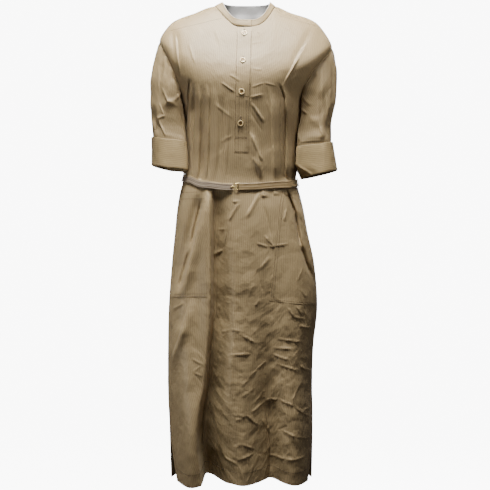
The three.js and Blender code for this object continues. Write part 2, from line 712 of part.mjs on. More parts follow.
function collarPoint(turn, share, inset) {
  const edge = bodyPoint(turn, 0);
  const towardEdge = edge.clone().sub(bodyPoint(turn, COLLAR_BASE_DROP)).normalize();
  const middle = new THREE.Vector3(NECK_MIDDLE.x, NECK_MIDDLE.y, edge.z);
  const inward = middle.sub(edge).setLength(1);
  const frontShare = (1 + Math.cos(radians(turn))) / 2;
  const height = THREE.MathUtils.lerp(COLLAR_HEIGHT_BACK, COLLAR_HEIGHT_FRONT, frontShare);
  const lap = COLLAR_LAP * (1 - ease(COLLAR_LAP_FADE / 3, COLLAR_LAP_FADE, Math.abs(turn)));
  return edge.addScaledVector(towardEdge, COLLAR_SEAM_LIFT)
    .addScaledVector(inward, COLLAR_LEAN * share ** COLLAR_LEAN_CURVE + inset - lap)
    .add(new THREE.Vector3(0, 0, height * share));
}

function collarGeometry(inset) {
  const points = [1, 0.5, 0].map((share) => collarTurns().map((turn) => collarPoint(turn, share, inset)));
  return wall({ points, normals: gridNormals(points, false) }, COLLAR_CLOTH);
}

// Belt: its height round the body, and its two pieces. turn runs from the front to both sides.
const BELT_HALF_HEIGHT = 9.5;
const BELT_LINE = [
  { turn: -270, z: -436 },
  { turn: -180, z: -426 },
  { turn: -92, z: -422 },
  { turn: -60, z: -430 },
  { turn: -30, z: -445 },
  { turn: -8, z: -451 },
  { turn: 4, z: -451 },
  { turn: 40, z: -446 },
  { turn: 90, z: -436 },
];
const BELT_LOOP_TURN = 91;
// The face side ends behind the left loop, one degree short of the reverse side
const BELT_FACE_END_TURN = 268;
const BELT_REVERSE_COLUMNS = 14;
const BELT_FACE_COLUMNS = 40;
const CLASP = { x: -24.5, z: -450, width: 20, height: 18, thickness: 1.6, corner: 4, bevel: 0.4 };

function beltZ(anyTurn) {
  const turn = anyTurn > 90 ? anyTurn - 360 : anyTurn;
  let row = 0;
  while (row < BELT_LINE.length - 2 && BELT_LINE[row + 1].turn < turn) {
    row += 1;
  }
  const from = BELT_LINE[row];
  const to = BELT_LINE[row + 1];
  return THREE.MathUtils.lerp(from.z, to.z, ease(from.turn, to.turn, turn));
}

function aroundWaist(turn, dz, lift) {
  const drop = DROP_AT_ZERO - beltZ(turn) - dz;
  return bodyPoint(turn, drop, 0).addScaledVector(bodyNormal(turn, drop, 0), lift);
}

function beltGeometry(first, last, columns) {
  const turns = range(columns).map((share) => THREE.MathUtils.lerp(first, last, share));
  const points = [BELT_HALF_HEIGHT, 0, -BELT_HALF_HEIGHT].map((dz) => (
    turns.map((turn) => aroundWaist(turn, dz, BELT_LIFT + BELT_CLOTH))
  ));
  return wall({ points, normals: gridNormals(points, false) }, BELT_CLOTH);
}

const BELT_LOOP = { halfWidth: 3, halfHeight: 14, bow: 10.8, thickness: 1, aimTurn: 2 };

function beltLoopGeometry(turn) {
  const over = BELT_LIFT + BELT_CLOTH + 2 * SEAM_GAP + BELT_LOOP.thickness;
  const rows = [
    { dz: BELT_LOOP.halfHeight, lift: 2 * SEAM_GAP + BELT_LOOP.thickness },
    { dz: BELT_LOOP.bow, lift: over },
    { dz: -BELT_LOOP.bow, lift: over },
    { dz: -BELT_LOOP.halfHeight, lift: 2 * SEAM_GAP + BELT_LOOP.thickness },
  ];
  const points = rows.map((row) => {
    const middle = aroundWaist(turn, row.dz, row.lift);
    const after = aroundWaist(turn + BELT_LOOP.aimTurn, row.dz, row.lift);
    const across = after.sub(aroundWaist(turn - BELT_LOOP.aimTurn, row.dz, row.lift));
    return [-1, 1].map((end) => middle.clone().add(across.clone().setLength(end * BELT_LOOP.halfWidth)));
  });
  return wall({ points, normals: gridNormals(points, false) }, BELT_LOOP.thickness);
}

// The hook clasp: a small plate with rounded corners over both belt ends
function claspGeometry() {
  const halfWidth = CLASP.width / 2;
  const halfHeight = CLASP.height / 2;
  const outline = new THREE.Shape();
  outline.moveTo(-halfWidth + CLASP.corner, -halfHeight);
  outline.lineTo(halfWidth - CLASP.corner, -halfHeight);
  outline.absarc(halfWidth - CLASP.corner, -halfHeight + CLASP.corner, CLASP.corner, -Math.PI / 2, 0);
  outline.absarc(halfWidth - CLASP.corner, halfHeight - CLASP.corner, CLASP.corner, 0, Math.PI / 2);
  outline.absarc(-halfWidth + CLASP.corner, halfHeight - CLASP.corner, CLASP.corner, Math.PI / 2, Math.PI);
  outline.absarc(-halfWidth + CLASP.corner, -halfHeight + CLASP.corner, CLASP.corner, Math.PI, 1.5 * Math.PI);
  const geometry = new THREE.ExtrudeGeometry(outline, {
    depth: CLASP.thickness - 2 * CLASP.bevel,
    bevelThickness: CLASP.bevel,
    bevelSize: CLASP.bevel,
    bevelOffset: -CLASP.bevel,
    bevelSegments: 1,
    curveSegments: 3,
  });
  return welded(geometry.translate(0, 0, CLASP.bevel));
}

// Buttons: a raised rim round a dished middle, as a profile of radius and height
const BUTTON_PROFILE = [
  { radius: 0, height: 0 },
  { radius: 5.6, height: 0 },
  { radius: 7.3, height: 0.9 },
  { radius: 7.5, height: 1.8 },
  { radius: 6.6, height: 2.7 },
  { radius: 5.4, height: 2.6 },
  { radius: 4.4, height: 1.7 },
  { radius: 0, height: 1.5 },
];
const BUTTON_SIDES = 24;
const BUTTONS = [
  { x: -2.4, z: -70 },
  { x: -5.4, z: -140 },
  { x: -8.8, z: -220 },
  { x: -10.5, z: -297 },
];

// A row near the middle of the front, where the search for a place starts
const SEARCH_ROW = 12;

// Sets a small hard piece on the front, its own z axis along the cloth's normal
function seatOnFront(mesh, front, x, z, lift) {
  const near = columnAtX(front, SEARCH_ROW, x);
  const row = rowAtZ(front, near, z);
  const column = columnAtX(front, row, x);
  const { point, normal } = onGrid(front, row, column);
  const side = new THREE.Vector3(0, 0, 1).cross(normal).normalize();
  const up = normal.clone().cross(side);
  mesh.quaternion.setFromRotationMatrix(new THREE.Matrix4().makeBasis(side, up, normal));
  mesh.position.copy(point).addScaledVector(normal, lift);
  return mesh;
}

function buttonGeometry() {
  const profile = BUTTON_PROFILE.map((point) => new THREE.Vector2(point.radius, point.height));
  return welded(new THREE.LatheGeometry(profile, BUTTON_SIDES).rotateX(Math.PI / 2));
}

const dress = new THREE.Group();
const khaki = clothMaterial(KHAKI);
const khakiBand = clothMaterial(KHAKI_BAND);
const paleGrey = clothMaterial(PALE_GREY);
const shell = new THREE.MeshStandardMaterial({ color: IVORY, roughness: 0.3, metalness: 0 });
const metal = new THREE.MeshStandardMaterial({ color: PALE_GOLD, roughness: 0.3, metalness: 1 });

const front = frontGrid();
const back = backGrid();
dress.add(piece('front_panel', wall(trimmed(front, SEAM_GAP / 2), CLOTH), khaki));
dress.add(piece('back_panel', wall(trimmed(back, SEAM_GAP / 2), CLOTH), khaki));
for (const sleeve of SLEEVES) {
  dress.add(piece(`sleeve_${sleeve.name}`, sleeveGeometry(sleeve), khaki));
  dress.add(piece(`cuff_${sleeve.name}`, cuffGeometry(sleeve), khakiBand));
}
dress.add(piece('collar_band', collarGeometry(0), khaki));
dress.add(piece('collar_inner', collarGeometry(COLLAR_CLOTH + SEAM_GAP), paleGrey));
dress.add(piece('placket', placket(front), khakiBand));
for (const shape of POCKETS) {
  dress.add(piece(shape.name, pocket(front, shape), khakiBand));
}
const waistTurn = (x) => frontTurnAt(x, DROP_AT_ZERO - CLASP.z);
const beltEndLeft = waistTurn(CLASP.x - CLASP.width / 4);
const beltEndRight = waistTurn(CLASP.x + CLASP.width / 4);
dress.add(piece('belt_reverse', beltGeometry(-BELT_LOOP_TURN, beltEndLeft, BELT_REVERSE_COLUMNS), paleGrey));
dress.add(piece('belt_face', beltGeometry(beltEndRight, BELT_FACE_END_TURN, BELT_FACE_COLUMNS), khakiBand));
dress.add(piece('belt_loop_left', beltLoopGeometry(-BELT_LOOP_TURN), khaki));
dress.add(piece('belt_loop_right', beltLoopGeometry(BELT_LOOP_TURN), khaki));
const clasp = piece('belt_clasp', claspGeometry(), metal);
dress.add(seatOnFront(clasp, front, CLASP.x, CLASP.z, BELT_LIFT + BELT_CLOTH + SEAM_GAP));
BUTTONS.forEach((place, index) => {
  const button = piece(`button_${index + 1}`, buttonGeometry(), shell);
  dress.add(seatOnFront(button, front, place.x, place.z, PATCH_LIFT + CLOTH + SEAM_GAP));
});

export default dress;
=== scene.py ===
import math
from collections import namedtuple

import bpy
import numpy as np
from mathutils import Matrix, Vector, noise
from mathutils.bvhtree import BVHTree


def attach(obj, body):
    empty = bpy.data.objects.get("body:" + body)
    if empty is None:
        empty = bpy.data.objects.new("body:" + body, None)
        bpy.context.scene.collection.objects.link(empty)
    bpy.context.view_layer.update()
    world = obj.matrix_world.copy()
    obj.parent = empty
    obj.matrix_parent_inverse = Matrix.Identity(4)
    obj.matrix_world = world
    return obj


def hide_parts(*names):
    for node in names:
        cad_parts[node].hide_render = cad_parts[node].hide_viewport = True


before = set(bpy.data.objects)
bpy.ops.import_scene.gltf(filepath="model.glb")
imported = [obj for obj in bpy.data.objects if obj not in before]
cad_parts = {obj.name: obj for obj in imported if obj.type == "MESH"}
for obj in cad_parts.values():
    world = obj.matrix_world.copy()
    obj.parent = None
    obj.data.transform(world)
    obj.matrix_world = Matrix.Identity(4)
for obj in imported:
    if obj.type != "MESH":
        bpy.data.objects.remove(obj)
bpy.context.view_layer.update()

# Shirt dress: cloth, trims, stitching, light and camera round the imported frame. Shapes are worked
# out in millimetres, in the frame's own axes, and turned into metres when a mesh is made.

MM = 0.001

# Walls and lifts
PANEL_CLOTH = 0.9
PATCH_LIFT = 0.42
PATCH_TURN = 0.32
COLLAR_CLOTH = 1.0
SEAM_GAP = 0.3
BELT_LIFT = 2.2
BELT_CLOTH = 1.2

# The body's cross-section is a rounded rectangle: sine and cosine to this power
SQUARENESS = 0.8
SHOULDER_ROUND = 2.5

Section = namedtuple("Section", "drop left right left_z right_z front_y front_z back_y back_z")
SECTIONS = [Section(*row) for row in (
    (0, -62, 72, 4, 4, -72, -51, 58, 4), (50, -115, 108, -3, -3, -86, -75, 78, -18),
    (115, -176, 171, -23, -23, -100, -105, 92, -50), (150, -201, 198, -46, -48, -112, -130, 98, -85),
    (185, -217, 221, -79, -94, -122, -155, 100, -120),
    (250, -200, 190, -150, -155, -128, -185, 100, -165),
    (325, -168, 148, -222, -222, -126, -225, 96, -215),
    (368, -156, 144, -265, -265, -120, -265, 90, -262),
    (433, -152, 134, -330, -330, -111, -330, 86, -330),
    (503, -150, 133, -400, -400, -105, -400, 83, -400),
    (533, -157, 130, -430, -430, -103, -430, 82, -430),
    (563, -165, 138, -460, -460, -106, -460, 90, -460),
    (603, -172, 148, -500, -500, -111, -500, 102, -500),
    (663, -178, 159, -560, -560, -115, -560, 115, -560),
    (743, -186, 176, -640, -640, -117, -640, 120, -640),
    (853, -194, 184, -750, -750, -118, -750, 120, -750),
    (953, -196, 174, -850, -850, -118, -850, 119, -850),
    (1053, -196, 171, -950, -950, -118, -950, 118, -950),
    (1153, -193, 173, -1050, -1050, -118, -1050, 118, -1050),
    (1290, -189, 171, -1187, -1187, -118, -1187, 118, -1187),
)]
DROP_AT_ZERO = 103
FRONT_HEM_DROP = 1277
BACK_HEM_DROP = 1290
SLIT_DROP = 1028
UNDERARM_DROP = 325

# Main folds: a line from its top to its end, a width to each side, and a depth, outward where it
# is positive. rise and fall are the shares of its length over which it fades.
Fold = namedtuple("Fold", "top_x top_z end_x end_z width depth rise fall")
FRONT_FOLDS = [Fold(*row) for row in (
    (-150, -560, -136, -1175, 32, 42, 1, 0), (-20, -640, -4, -1175, 30, 21, 1, 0),
    (52, -560, 62, -1175, 24, -27, 1, 0), (118, -520, 128, -1175, 36, 34, 1, 0),
    (-102, -448, -184, -726, 15, -11, 0.2, 0.3), (-150, -772, -190, -900, 14, 9, 0.3, 0.4),
    (112, -444, 176, -700, 14, -11, 0.15, 0.3), (134, -470, 186, -680, 11, 6, 0.3, 0.3),
    (108, -235, 100, -445, 10, -9, 0.3, 0.1), (-112, -270, -108, -445, 9, -7, 0.3, 0.1),
    (-134, -250, -130, -440, 10, 5, 0.3, 0.15), (14, -300, 37, -445, 9, 5, 0.4, 0.1),
    (-180, -46, -168, -150, 10, -4, 0.3, 0.4), (172, -41, 104, -175, 9, -2, 0.25, 0.4),
)]
BACK_FOLDS = [Fold(*row) for row in (
    (-120, -640, -112, -1187, 34, 20, 1, 0), (-60, -560, -52, -1187, 26, -32, 1, 0),
    (0, -600, 8, -1187, 30, 18, 1, 0), (62, -580, 70, -1187, 27, -30, 1, 0),
    (118, -640, 124, -1187, 34, 18, 1, 0), (-84, -250, -72, -560, 11, -7, 0.4, 0.4),
    (-8, -280, -6, -540, 12, -7, 0.4, 0.4), (76, -260, 66, -570, 11, -7, 0.4, 0.4),
)]
WAIST_Z = -440
WAIST_HOLD = 40
FOLD_WINDOW = 0.35
HEM_LIFT = 0.2
HEM_LIFT_START = 700
# The cloth rises a little more beside the neck
NECK_RISE = 9
NECK_RISE_DROP = 42
NECK_RISE_ROUND = 5
NECK_SPREAD_LEFT = 17
NECK_SPREAD_RIGHT = 6

# The photograph's view: the camera's place, its lens, and the picture's scale at the side seams
CAMERA_Y = -2750
CAMERA_Z = -594
CAMERA_LENS = 79.2
PIXEL = 2.55
MIDDLE_PX = 245
TOP_PY = 12
FRONT_PLANE_Y = -115

# Fine creases of the front, by the picture's pixels: from one end to the other, a width and a
# depth in millimetres. The side to the right of its direction is the steep one.
Crease = namedtuple("Crease", "px0 py0 px1 py1 width depth")
FRONT_CREASES = [Crease(*row) for row in (
    # shoulders and chest
    (173, 29, 178, 67, 5, 2.4), (308, 40, 285, 82, 5, 3.0), (188, 42, 195, 64, 6, 1.2),
    (214, 26, 222, 50, 7, 1.0), (221, 83, 235, 93, 5, 1.6), (229, 75, 240, 82, 5, 1.2),
    (252, 42, 262, 40, 4, 0.9), (252, 88, 264, 83.5, 5, 0.9), (264, 83.5, 276, 86, 5, 0.8),
    (252, 69, 263, 71, 5, 0.9),
    # below the bust
    (251, 98, 263, 95, 5, 2.0), (251, 103, 264, 122, 5, 3.0), (250, 112, 262, 131, 4, -1.6),
    (250, 133, 262, 161, 6, 3.4), (257, 150, 261, 181, 7, 3.4), (266, 100, 272, 118, 6, 1.0),
    (214, 104, 232, 118, 6, 1.2), (220, 142, 233, 135, 5, 1.0), (189, 78, 187, 100, 7, -6),
    (187, 96, 184, 126, 7, -7), (194, 84, 193, 172, 6, -4), (204, 100, 203, 178, 5, -3.2),
    (222, 96, 224, 178, 9, -2.6), (280, 100, 282, 180, 7, -4), (279, 85, 286, 100, 5, -2.2),
    (286, 98, 286, 182, 5, -2.8), (272, 100, 276, 182, 8, 1.4), (294, 96, 296, 175, 6, 2.0),
    # below the belt
    (216, 230, 225, 229, 3, 1.6), (211, 256, 223, 250, 4, 2.6), (232, 202, 240, 201, 4, 2.0),
    (239, 202, 228, 221, 5, 3.0), (228, 221, 224, 246, 5, 2.2), (224, 246, 220, 270, 6, 1.2),
    (262, 188, 246, 218, 10, 3.0), (264, 206, 272, 240, 8, -2.2), (264, 236, 274, 246, 4, 2.0),
    (256, 243, 268, 247, 3, 2.2), (268, 247, 289, 244, 3, 2.2), (287, 208, 284, 221, 6, 2.0),
    (270, 256, 259, 270, 9, 2.2), (257, 269, 263, 293, 5, -2.0), (254, 283, 250, 292, 6, 1.6),
    (259, 299, 255, 306, 5, 1.8), (303, 268, 297, 282, 4, 1.8), (301, 290, 307, 298, 4, 1.6),
    (286, 186, 296, 212, 9, -9), (296, 212, 301, 246, 9, -10), (301, 246, 312, 276, 8, -8),
    (201, 198, 189, 248, 9, -7), (189, 248, 176, 292, 9, -7), (293, 190, 303, 221, 6, 3.0),
    (303, 221, 318, 262, 6, 2.6), (206, 188, 184, 290, 7, 2.4),
    # below the left pocket
    (171, 311, 184, 303, 4, 2.6), (188, 300, 180, 331, 6, -2.6), (180, 331, 170, 358, 6, -2.0),
    (192, 358, 202, 364, 3, 2.0), (202, 364, 193, 371, 3, 1.8), (193, 371, 203, 376, 3, 1.6),
    (170, 374, 181, 372, 2.5, 1.2),
    # the right knee and hip
    (288, 308, 294, 317, 4, 2.4), (294, 317, 306, 320, 4, 2.6), (296, 306, 303, 315, 4, 1.8),
    (306, 312, 309, 327, 4, 1.8), (299, 326, 313, 330, 6, 2.8), (277, 339, 302, 342, 3, 2.6),
    (271, 349, 294, 348, 3, 1.8), (272, 355, 290, 360, 3.5, 2.2), (276, 364, 299, 370, 4, 2.0),
    (300, 366, 312, 374, 6, 2.6), (299, 384, 292, 399, 4, 2.0),
    # the middle of the skirt
    (221, 334, 230, 330, 3.5, 2.2), (230, 330, 241, 331, 3.5, 2.2), (241, 334, 255, 343, 3.5, 2.4),
    (228, 355, 251, 354, 4, 2.6), (237, 362, 242, 370, 3, 1.4), (267, 361, 257, 369, 3.5, 2.2),
    (257, 369, 240, 386, 3.5, 2.4), (240, 386, 234, 395, 3.5, 1.6), (241, 396, 255, 388, 4, 1.8),
    (252, 405, 265, 392, 3.5, 1.8),
    # the star of creases by the hem
    (246, 413, 232, 413, 3, 2.2), (235, 419, 246, 414, 3, 1.8), (246, 413, 259, 426, 3.5, 2.4),
    (251, 412, 266, 403, 3, 2.4), (265, 403, 279, 400, 3.5, 2.4), (279, 400, 294, 404, 3.5, 2.4),
    (294, 404, 310, 418, 4, 2.2), (303, 410, 313, 411, 5, 1.8), (277, 432, 288, 424, 3.5, -2.0),
    (282, 430, 296, 434, 4, 2.2), (296, 434, 312, 440, 4, 2.0), (262, 420, 271, 438, 4, 2.0),
    (234, 446, 242, 441, 3, 2.0), (242, 441, 254, 448, 3, 2.0), (236, 458, 254, 452, 5, 2.2),
    (238, 461, 243, 477, 3, 1.8), (254, 460, 247, 480, 3, 1.8), (223, 457, 238, 462, 4, 1.8),
    (266, 460, 309, 455, 5, 2.2),
)]

# Armhole and shoulder seam, as the panels are cut
ARMHOLE_DROP = 255
ARMHOLE_HALF_DROP = 70
ARMHOLE_FRONT_TURN = 30
ARMHOLE_BACK_TURN = 26
SHOULDER_SEAM_ANGLE = -10
UNDERARM_ANGLE = 180
NECK_SEAM_TURN = 65
SHOULDER_SEAM_SWING = 2.2
ARMHOLE_SHARE = 0.18
LEVEL_DROP = 560
LEVELLING = 5
TURN_LEVELLING = 1.8
FRONT_HEM_LEFT_X = -168
FRONT_HEM_RIGHT_X = 156
BACK_SLIT_TURN = 2
SLIT_OPENING = 1.2

# Hems: how far their stitches lie above the edge
HEM_STITCH_UP = 31
FRONT_SLIT_LENGTH = FRONT_HEM_DROP - SLIT_DROP
BACK_SLIT_LENGTH = BACK_HEM_DROP - SLIT_DROP

# Grids of the cloth: rows down and columns across
ARMHOLE_ROWS = 76
FRONT_ROW_PITCH = 2.8
BACK_ROW_PITCH = 4.2
SHOULDER_COLUMNS = {"front": 52, "back": 36}
NECK_COLUMNS = {"front": 80, "back": 56}
TURN_CELLS = 4


def ease(low, high, value):
    share = np.clip((value - low) / (high - low), 0, 1)
    return share * share * (3 - 2 * share)


def mix(first, last, share):
    return first + (last - first) * share


def sine_of(degrees):
    return np.sin(np.radians(degrees))


def cosine_of(degrees):
    return np.cos(np.radians(degrees))


def unit(vectors):
    return vectors / np.maximum(np.linalg.norm(vectors, axis=-1, keepdims=True), 1e-9)


def signed_power(value, power):
    return np.sign(value) * np.abs(value) ** power


SECTION_DROPS = np.array([section.drop for section in SECTIONS], float)


def section_at(column, drop):
    """One column of the sections as a smooth curve over the drop."""
    values = np.array([getattr(section, column) for section in SECTIONS], float)
    last = len(values) - 1
    index = np.arange(last + 1)
    before = np.maximum(index - 1, 0)
    after = np.minimum(index + 1, last)
    slopes = (values[after] - values[before]) / (SECTION_DROPS[after] - SECTION_DROPS[before])
    drop = np.asarray(drop, float)
    row = np.clip(np.searchsorted(SECTION_DROPS, drop) - 1, 0, last - 1)
    span = SECTION_DROPS[row + 1] - SECTION_DROPS[row]
    share = np.clip((drop - SECTION_DROPS[row]) / span, 0, 1)
    square = share * share
    cube = square * share
    return (
        (2 * cube - 3 * square + 1) * values[row]
        + (cube - 2 * square + share) * span * slopes[row]
        + (3 * square - 2 * cube) * values[row + 1]
        + (cube - square) * span * slopes[row + 1]
    )


def sides_at(drop):
    """x of the body's two sides, the picture's left first."""
    return section_at("left", drop), section_at("right", drop)


def fold_depth(folds, x, z):
    depth = np.zeros_like(x)
    belt_hold = 1 - np.exp(-(((z - WAIST_Z) / WAIST_HOLD) ** 2))
    for fold in folds:
        along = (fold.top_z - z) / (fold.top_z - fold.end_z)
        line_x = mix(fold.top_x, fold.end_x, along)
        strength = ease(0, fold.rise, along)
        if fold.fall > 0:
            strength = strength * (1 - ease(1 - fold.fall, 1, along))
        if fold.depth > 0:
            strength = strength * belt_hold
        depth = depth + fold.depth * strength * np.exp(-(((x - line_x) / fold.width) ** 2))
    return depth


def on_front_plane(px, py):
    """x and z, in millimetres, of a pixel of the picture on the front of the dress."""
    nearness = (FRONT_PLANE_Y - CAMERA_Y) / -CAMERA_Y
    x = (px - MIDDLE_PX) * PIXEL * nearness
    z = CAMERA_Z + ((TOP_PY - py) * PIXEL - CAMERA_Z) * nearness
    return x, z


# Pleats: a ridge that rises softly on one side and turns in sharply on the other, along a line
# of pixels with a depth, from top to bottom. steep is 1 where the sharp side is to the right.
Pleat = namedtuple("Pleat", "steep reach turn_in line")
FRONT_PLEATS = [
    # the long fold from the belt to the hem
    Pleat(1, 24, 7, [
        (206, 186, 0), (208.5, 200, 6), (209.5, 250, 10), (209.8, 300, 12), (208.5, 330, 12),
        (206, 360, 12), (203.5, 390, 14), (199.7, 405, 15), (196.5, 430, 16), (197.2, 451, 17),
        (199.7, 470, 18), (202, 486, 18),
    ]),
    # the fold beside the right pocket, its sharp side towards the middle
    Pleat(-1, 22, 7, [
        (288.5, 184, 0), (292, 196, 7), (299, 212, 10), (303.5, 240, 11), (311, 264, 9), (320, 284, 3),
        (322, 290, 0),
    ]),
    # below the bust, on the right
    Pleat(-1, 12, 5, [
        (281, 82, 0), (286, 97, 6), (287.5, 120, 9), (287, 150, 10), (287, 176, 9), (287, 182, 3),
    ]),
    # below the bust, on the left
    Pleat(1, 5, 3.5, [(207, 84, 0), (208.5, 96, 3.6), (208, 130, 5.0), (206.5, 172, 5.0), (206, 182, 1)]),
    Pleat(1, 9, 7, [(198, 84, 0), (199.5, 98, 4.4), (199, 135, 6), (197, 172, 6), (196.5, 182, 1)]),
    Pleat(1, 4, 3.5, [(190, 80, 0), (191, 96, 4), (189.5, 125, 4.6), (190.5, 170, 4), (190.5, 180, 0)]),
    Pleat(1, 13, 8, [(214, 88, 0), (217, 108, 2.8), (216.5, 150, 3.4), (214, 180, 1.5)]),
    Pleat(1, 10, 7, [(226, 98, 0), (228, 120, 1.8), (226, 158, 2.4), (224, 182, 1)]),
    Pleat(-1, 11, 7, [(268, 86, 0), (272, 106, 3), (274, 150, 4), (275, 182, 2)]),
    Pleat(-1, 10, 7, [(252, 156, 0), (257, 164, 2.6), (263, 184, 3.4)]),
    # the left shoulder
    Pleat(1, 6, 3, [(173.5, 27, 0), (175.5, 40, 2.4), (178, 64, 3), (179, 72, 0)]),
    # the right shoulder, a long slant towards the bust
    Pleat(-1, 5, 3, [(308, 38, 0), (303, 47, 0.9), (296, 60, 1.3), (287, 77, 1.4), (282, 88, 0)]),
    # the hip on the left: a slanting ridge, dark below it
    Pleat(-1, 16, 9, [(207, 190, 0), (203, 212, 6), (194, 250, 9), (184, 284, 8), (178, 300, 0)]),
    Pleat(-1, 18, 8, [(189, 300, 0), (187, 312, 5), (181, 333, 8), (173, 356, 7), (169, 372, 0)]),
    # by the hem, right of the middle
    Pleat(1, 20, 8, [(262, 404, 0), (264, 424, 4), (268, 452, 6), (266, 480, 6)]),
]

# Valleys: a wall that drops at a line of pixels, and a floor that rises again to its right
Valley = namedtuple("Valley", "wall floor line")
FRONT_VALLEYS = [
    Valley(9, 66, [
        (210, 186, 4), (210.5, 215, 20), (210.8, 260, 31), (210.8, 320, 36), (207.5, 350, 36),
        (204.5, 390, 42), (200.5, 410, 46), (198, 430, 50), (198, 451, 54), (200.5, 470, 56),
        (202.5, 490, 58),
    ]),
]


def line_values(line, z):
    """x and depth of a line of pixels at the height z, and the line's lowest and highest z."""
    px, py, depth = np.array(line, float)[::-1].T
    x, heights = on_front_plane(px, py)
    return np.interp(z, heights, x), np.interp(z, heights, depth), heights[0], heights[-1]


def valley_depth(valleys, x, z):
    depth = np.zeros_like(x)
    for valley in valleys:
        line_x, drop, _, top = line_values(valley.line, z)
        aside = x - line_x
        rise = 1 - ease(0.3 * valley.wall + 6, valley.floor, aside)
        depth = depth - np.where(z > top, 0, drop) * ease(0, valley.wall, aside) * rise
    return depth


PLEAT_UNDER = 0.35
PLEAT_PAST_END = 30
STEEP_SIDE = 0.42
CREASE_FADE = 0.24
CREST_POWER = 1.5
CREASE_WIDTH = 0.57


def pleat_depth(pleats, x, z):
    depth = np.zeros_like(x)
    for pleat in pleats:
        line_x, strength, low, top = line_values(pleat.line, z)
        strength = np.where((z > top) | (z < low - PLEAT_PAST_END), 0, strength)
        aside = (x - line_x) * pleat.steep
        soft = np.exp(-((aside / pleat.reach) ** 2))
        turned = ease(0, pleat.turn_in, aside)
        depth = depth + strength * np.where(aside < 0, soft, 1 - turned - PLEAT_UNDER * turned * soft)
    return depth


def crease_depth(creases, x, z):
    depth = np.zeros_like(x)
    for crease in creases:
        x0, z0 = on_front_plane(crease.px0, crease.py0)
        x1, z1 = on_front_plane(crease.px1, crease.py1)
        length = math.hypot(x1 - x0, z1 - z0)
        way_x, way_z = (x1 - x0) / length, (z1 - z0) / length
        along = ((x - x0) * way_x + (z - z0) * way_z) / length
        aside = (x - x0) * way_z - (z - z0) * way_x
        width = CREASE_WIDTH * crease.width * np.where(aside > 0, STEEP_SIDE, 1.0)
        strength = ease(-0.05, CREASE_FADE, along) * (1 - ease(1 - CREASE_FADE, 1.05, along))
        depth = depth + crease.depth * strength * np.exp(-((np.abs(aside) / width) ** CREST_POWER))
    return depth


def soft_noise(x, z, size, seed):
    """Smooth noise over the cloth, from -1 to 1, with bumps of about the given size."""
    flat_x, flat_z = np.ravel(x) / size, np.ravel(z) / size
    values = [noise.noise(Vector((a, b, seed))) for a, b in zip(flat_x, flat_z)]
    return np.array(values).reshape(np.shape(x))


# Crumpled cloth: flat facets between straight creases, from a lattice of shifted points
FACET_LEFT = -300
FACET_TOP = 60
FACET_WIDTH = 600
FACET_HEIGHT = 1300
FACET_SHIFT = 0.38
FACET_SOFTENING = 1.1


class Facets:
    """Relief from -1 to 1 that is flat between creases about one size apart."""

    def __init__(self, size, seed, stretch=1.0):
        rng = np.random.default_rng(seed)
        columns = int(FACET_WIDTH / size) + 2
        rows = int(FACET_HEIGHT / (size * stretch)) + 2
        self.x, self.z = np.meshgrid(
            FACET_LEFT + np.arange(columns) * size, FACET_TOP - np.arange(rows) * size * stretch,
        )
        self.x = self.x + rng.uniform(-FACET_SHIFT, FACET_SHIFT, self.x.shape) * size
        self.z = self.z + rng.uniform(-FACET_SHIFT, FACET_SHIFT, self.z.shape) * size * stretch
        self.height = rng.uniform(-1, 1, self.x.shape)
        self.slant = rng.random(self.x.shape) < 0.5

    def triangles(self):
        rows, columns = self.x.shape
        for row in range(rows - 1):
            for column in range(columns - 1):
                a, b = (row, column), (row, column + 1)
                c, d = (row + 1, column), (row + 1, column + 1)
                yield from ((a, b, d), (a, d, c)) if self.slant[row, column] else ((a, b, c), (b, d, c))

    def exact(self, x, z):
        flat_x, flat_z = np.ravel(x), np.ravel(z)
        relief = np.zeros(len(flat_x))
        low_x, high_x, low_z, high_z = flat_x.min(), flat_x.max(), flat_z.min(), flat_z.max()
        order = np.argsort(flat_z)
        sorted_z = flat_z[order]
        for corners in self.triangles():
            tx = [self.x[corner] for corner in corners]
            tz = [self.z[corner] for corner in corners]
            if max(tx) < low_x or min(tx) > high_x or max(tz) < low_z or min(tz) > high_z:
                continue
            first, last = np.searchsorted(sorted_z, [min(tz), max(tz)])
            near = order[first:last]
            if not len(near):
                continue
            px, pz = flat_x[near], flat_z[near]
            area = (tx[1] - tx[0]) * (tz[2] - tz[0]) - (tx[2] - tx[0]) * (tz[1] - tz[0])
            second = ((px - tx[0]) * (tz[2] - tz[0]) - (tx[2] - tx[0]) * (pz - tz[0])) / area
            third = ((tx[1] - tx[0]) * (pz - tz[0]) - (px - tx[0]) * (tz[1] - tz[0])) / area
            inside = (second >= 0) & (third >= 0) & (second + third <= 1)
            heights = [self.height[corner] for corner in corners]
            value = heights[0] + second * (heights[1] - heights[0]) + third * (heights[2] - heights[0])
            relief[near[inside]] = value[inside]
        return relief.reshape(np.shape(x))

    def at(self, x, z):
        step = FACET_SOFTENING
        places = ((step, step), (-step, step), (step, -step), (-step, -step))
        return sum(self.exact(x + dx, z + dz) for dx, dz in places) / len(places)


BIG_FACETS = Facets(44, 5)
SMALL_FACETS = Facets(20, 12)
BACK_FACETS = Facets(52, 31)
SLEEVE_FACETS = Facets(34, 8, 1.3)

CREASE_STRENGTH = 1.1
DETAIL_FRONT = 1
DETAIL_BACK = 2
# Soft ripples over all the cloth, and how far from the belt it lies free again
RIPPLE_DEPTH = 0.7
RIPPLE_SIZE = 34
RIPPLE_SEED = 7.3
BELT_FREE = 22
COLLAR_FREE = 60
# The skirt's middle is more crumpled than its side on the picture's left, between these places
CALM_SIDE_X = -110
FULL_SIDE_X = -60


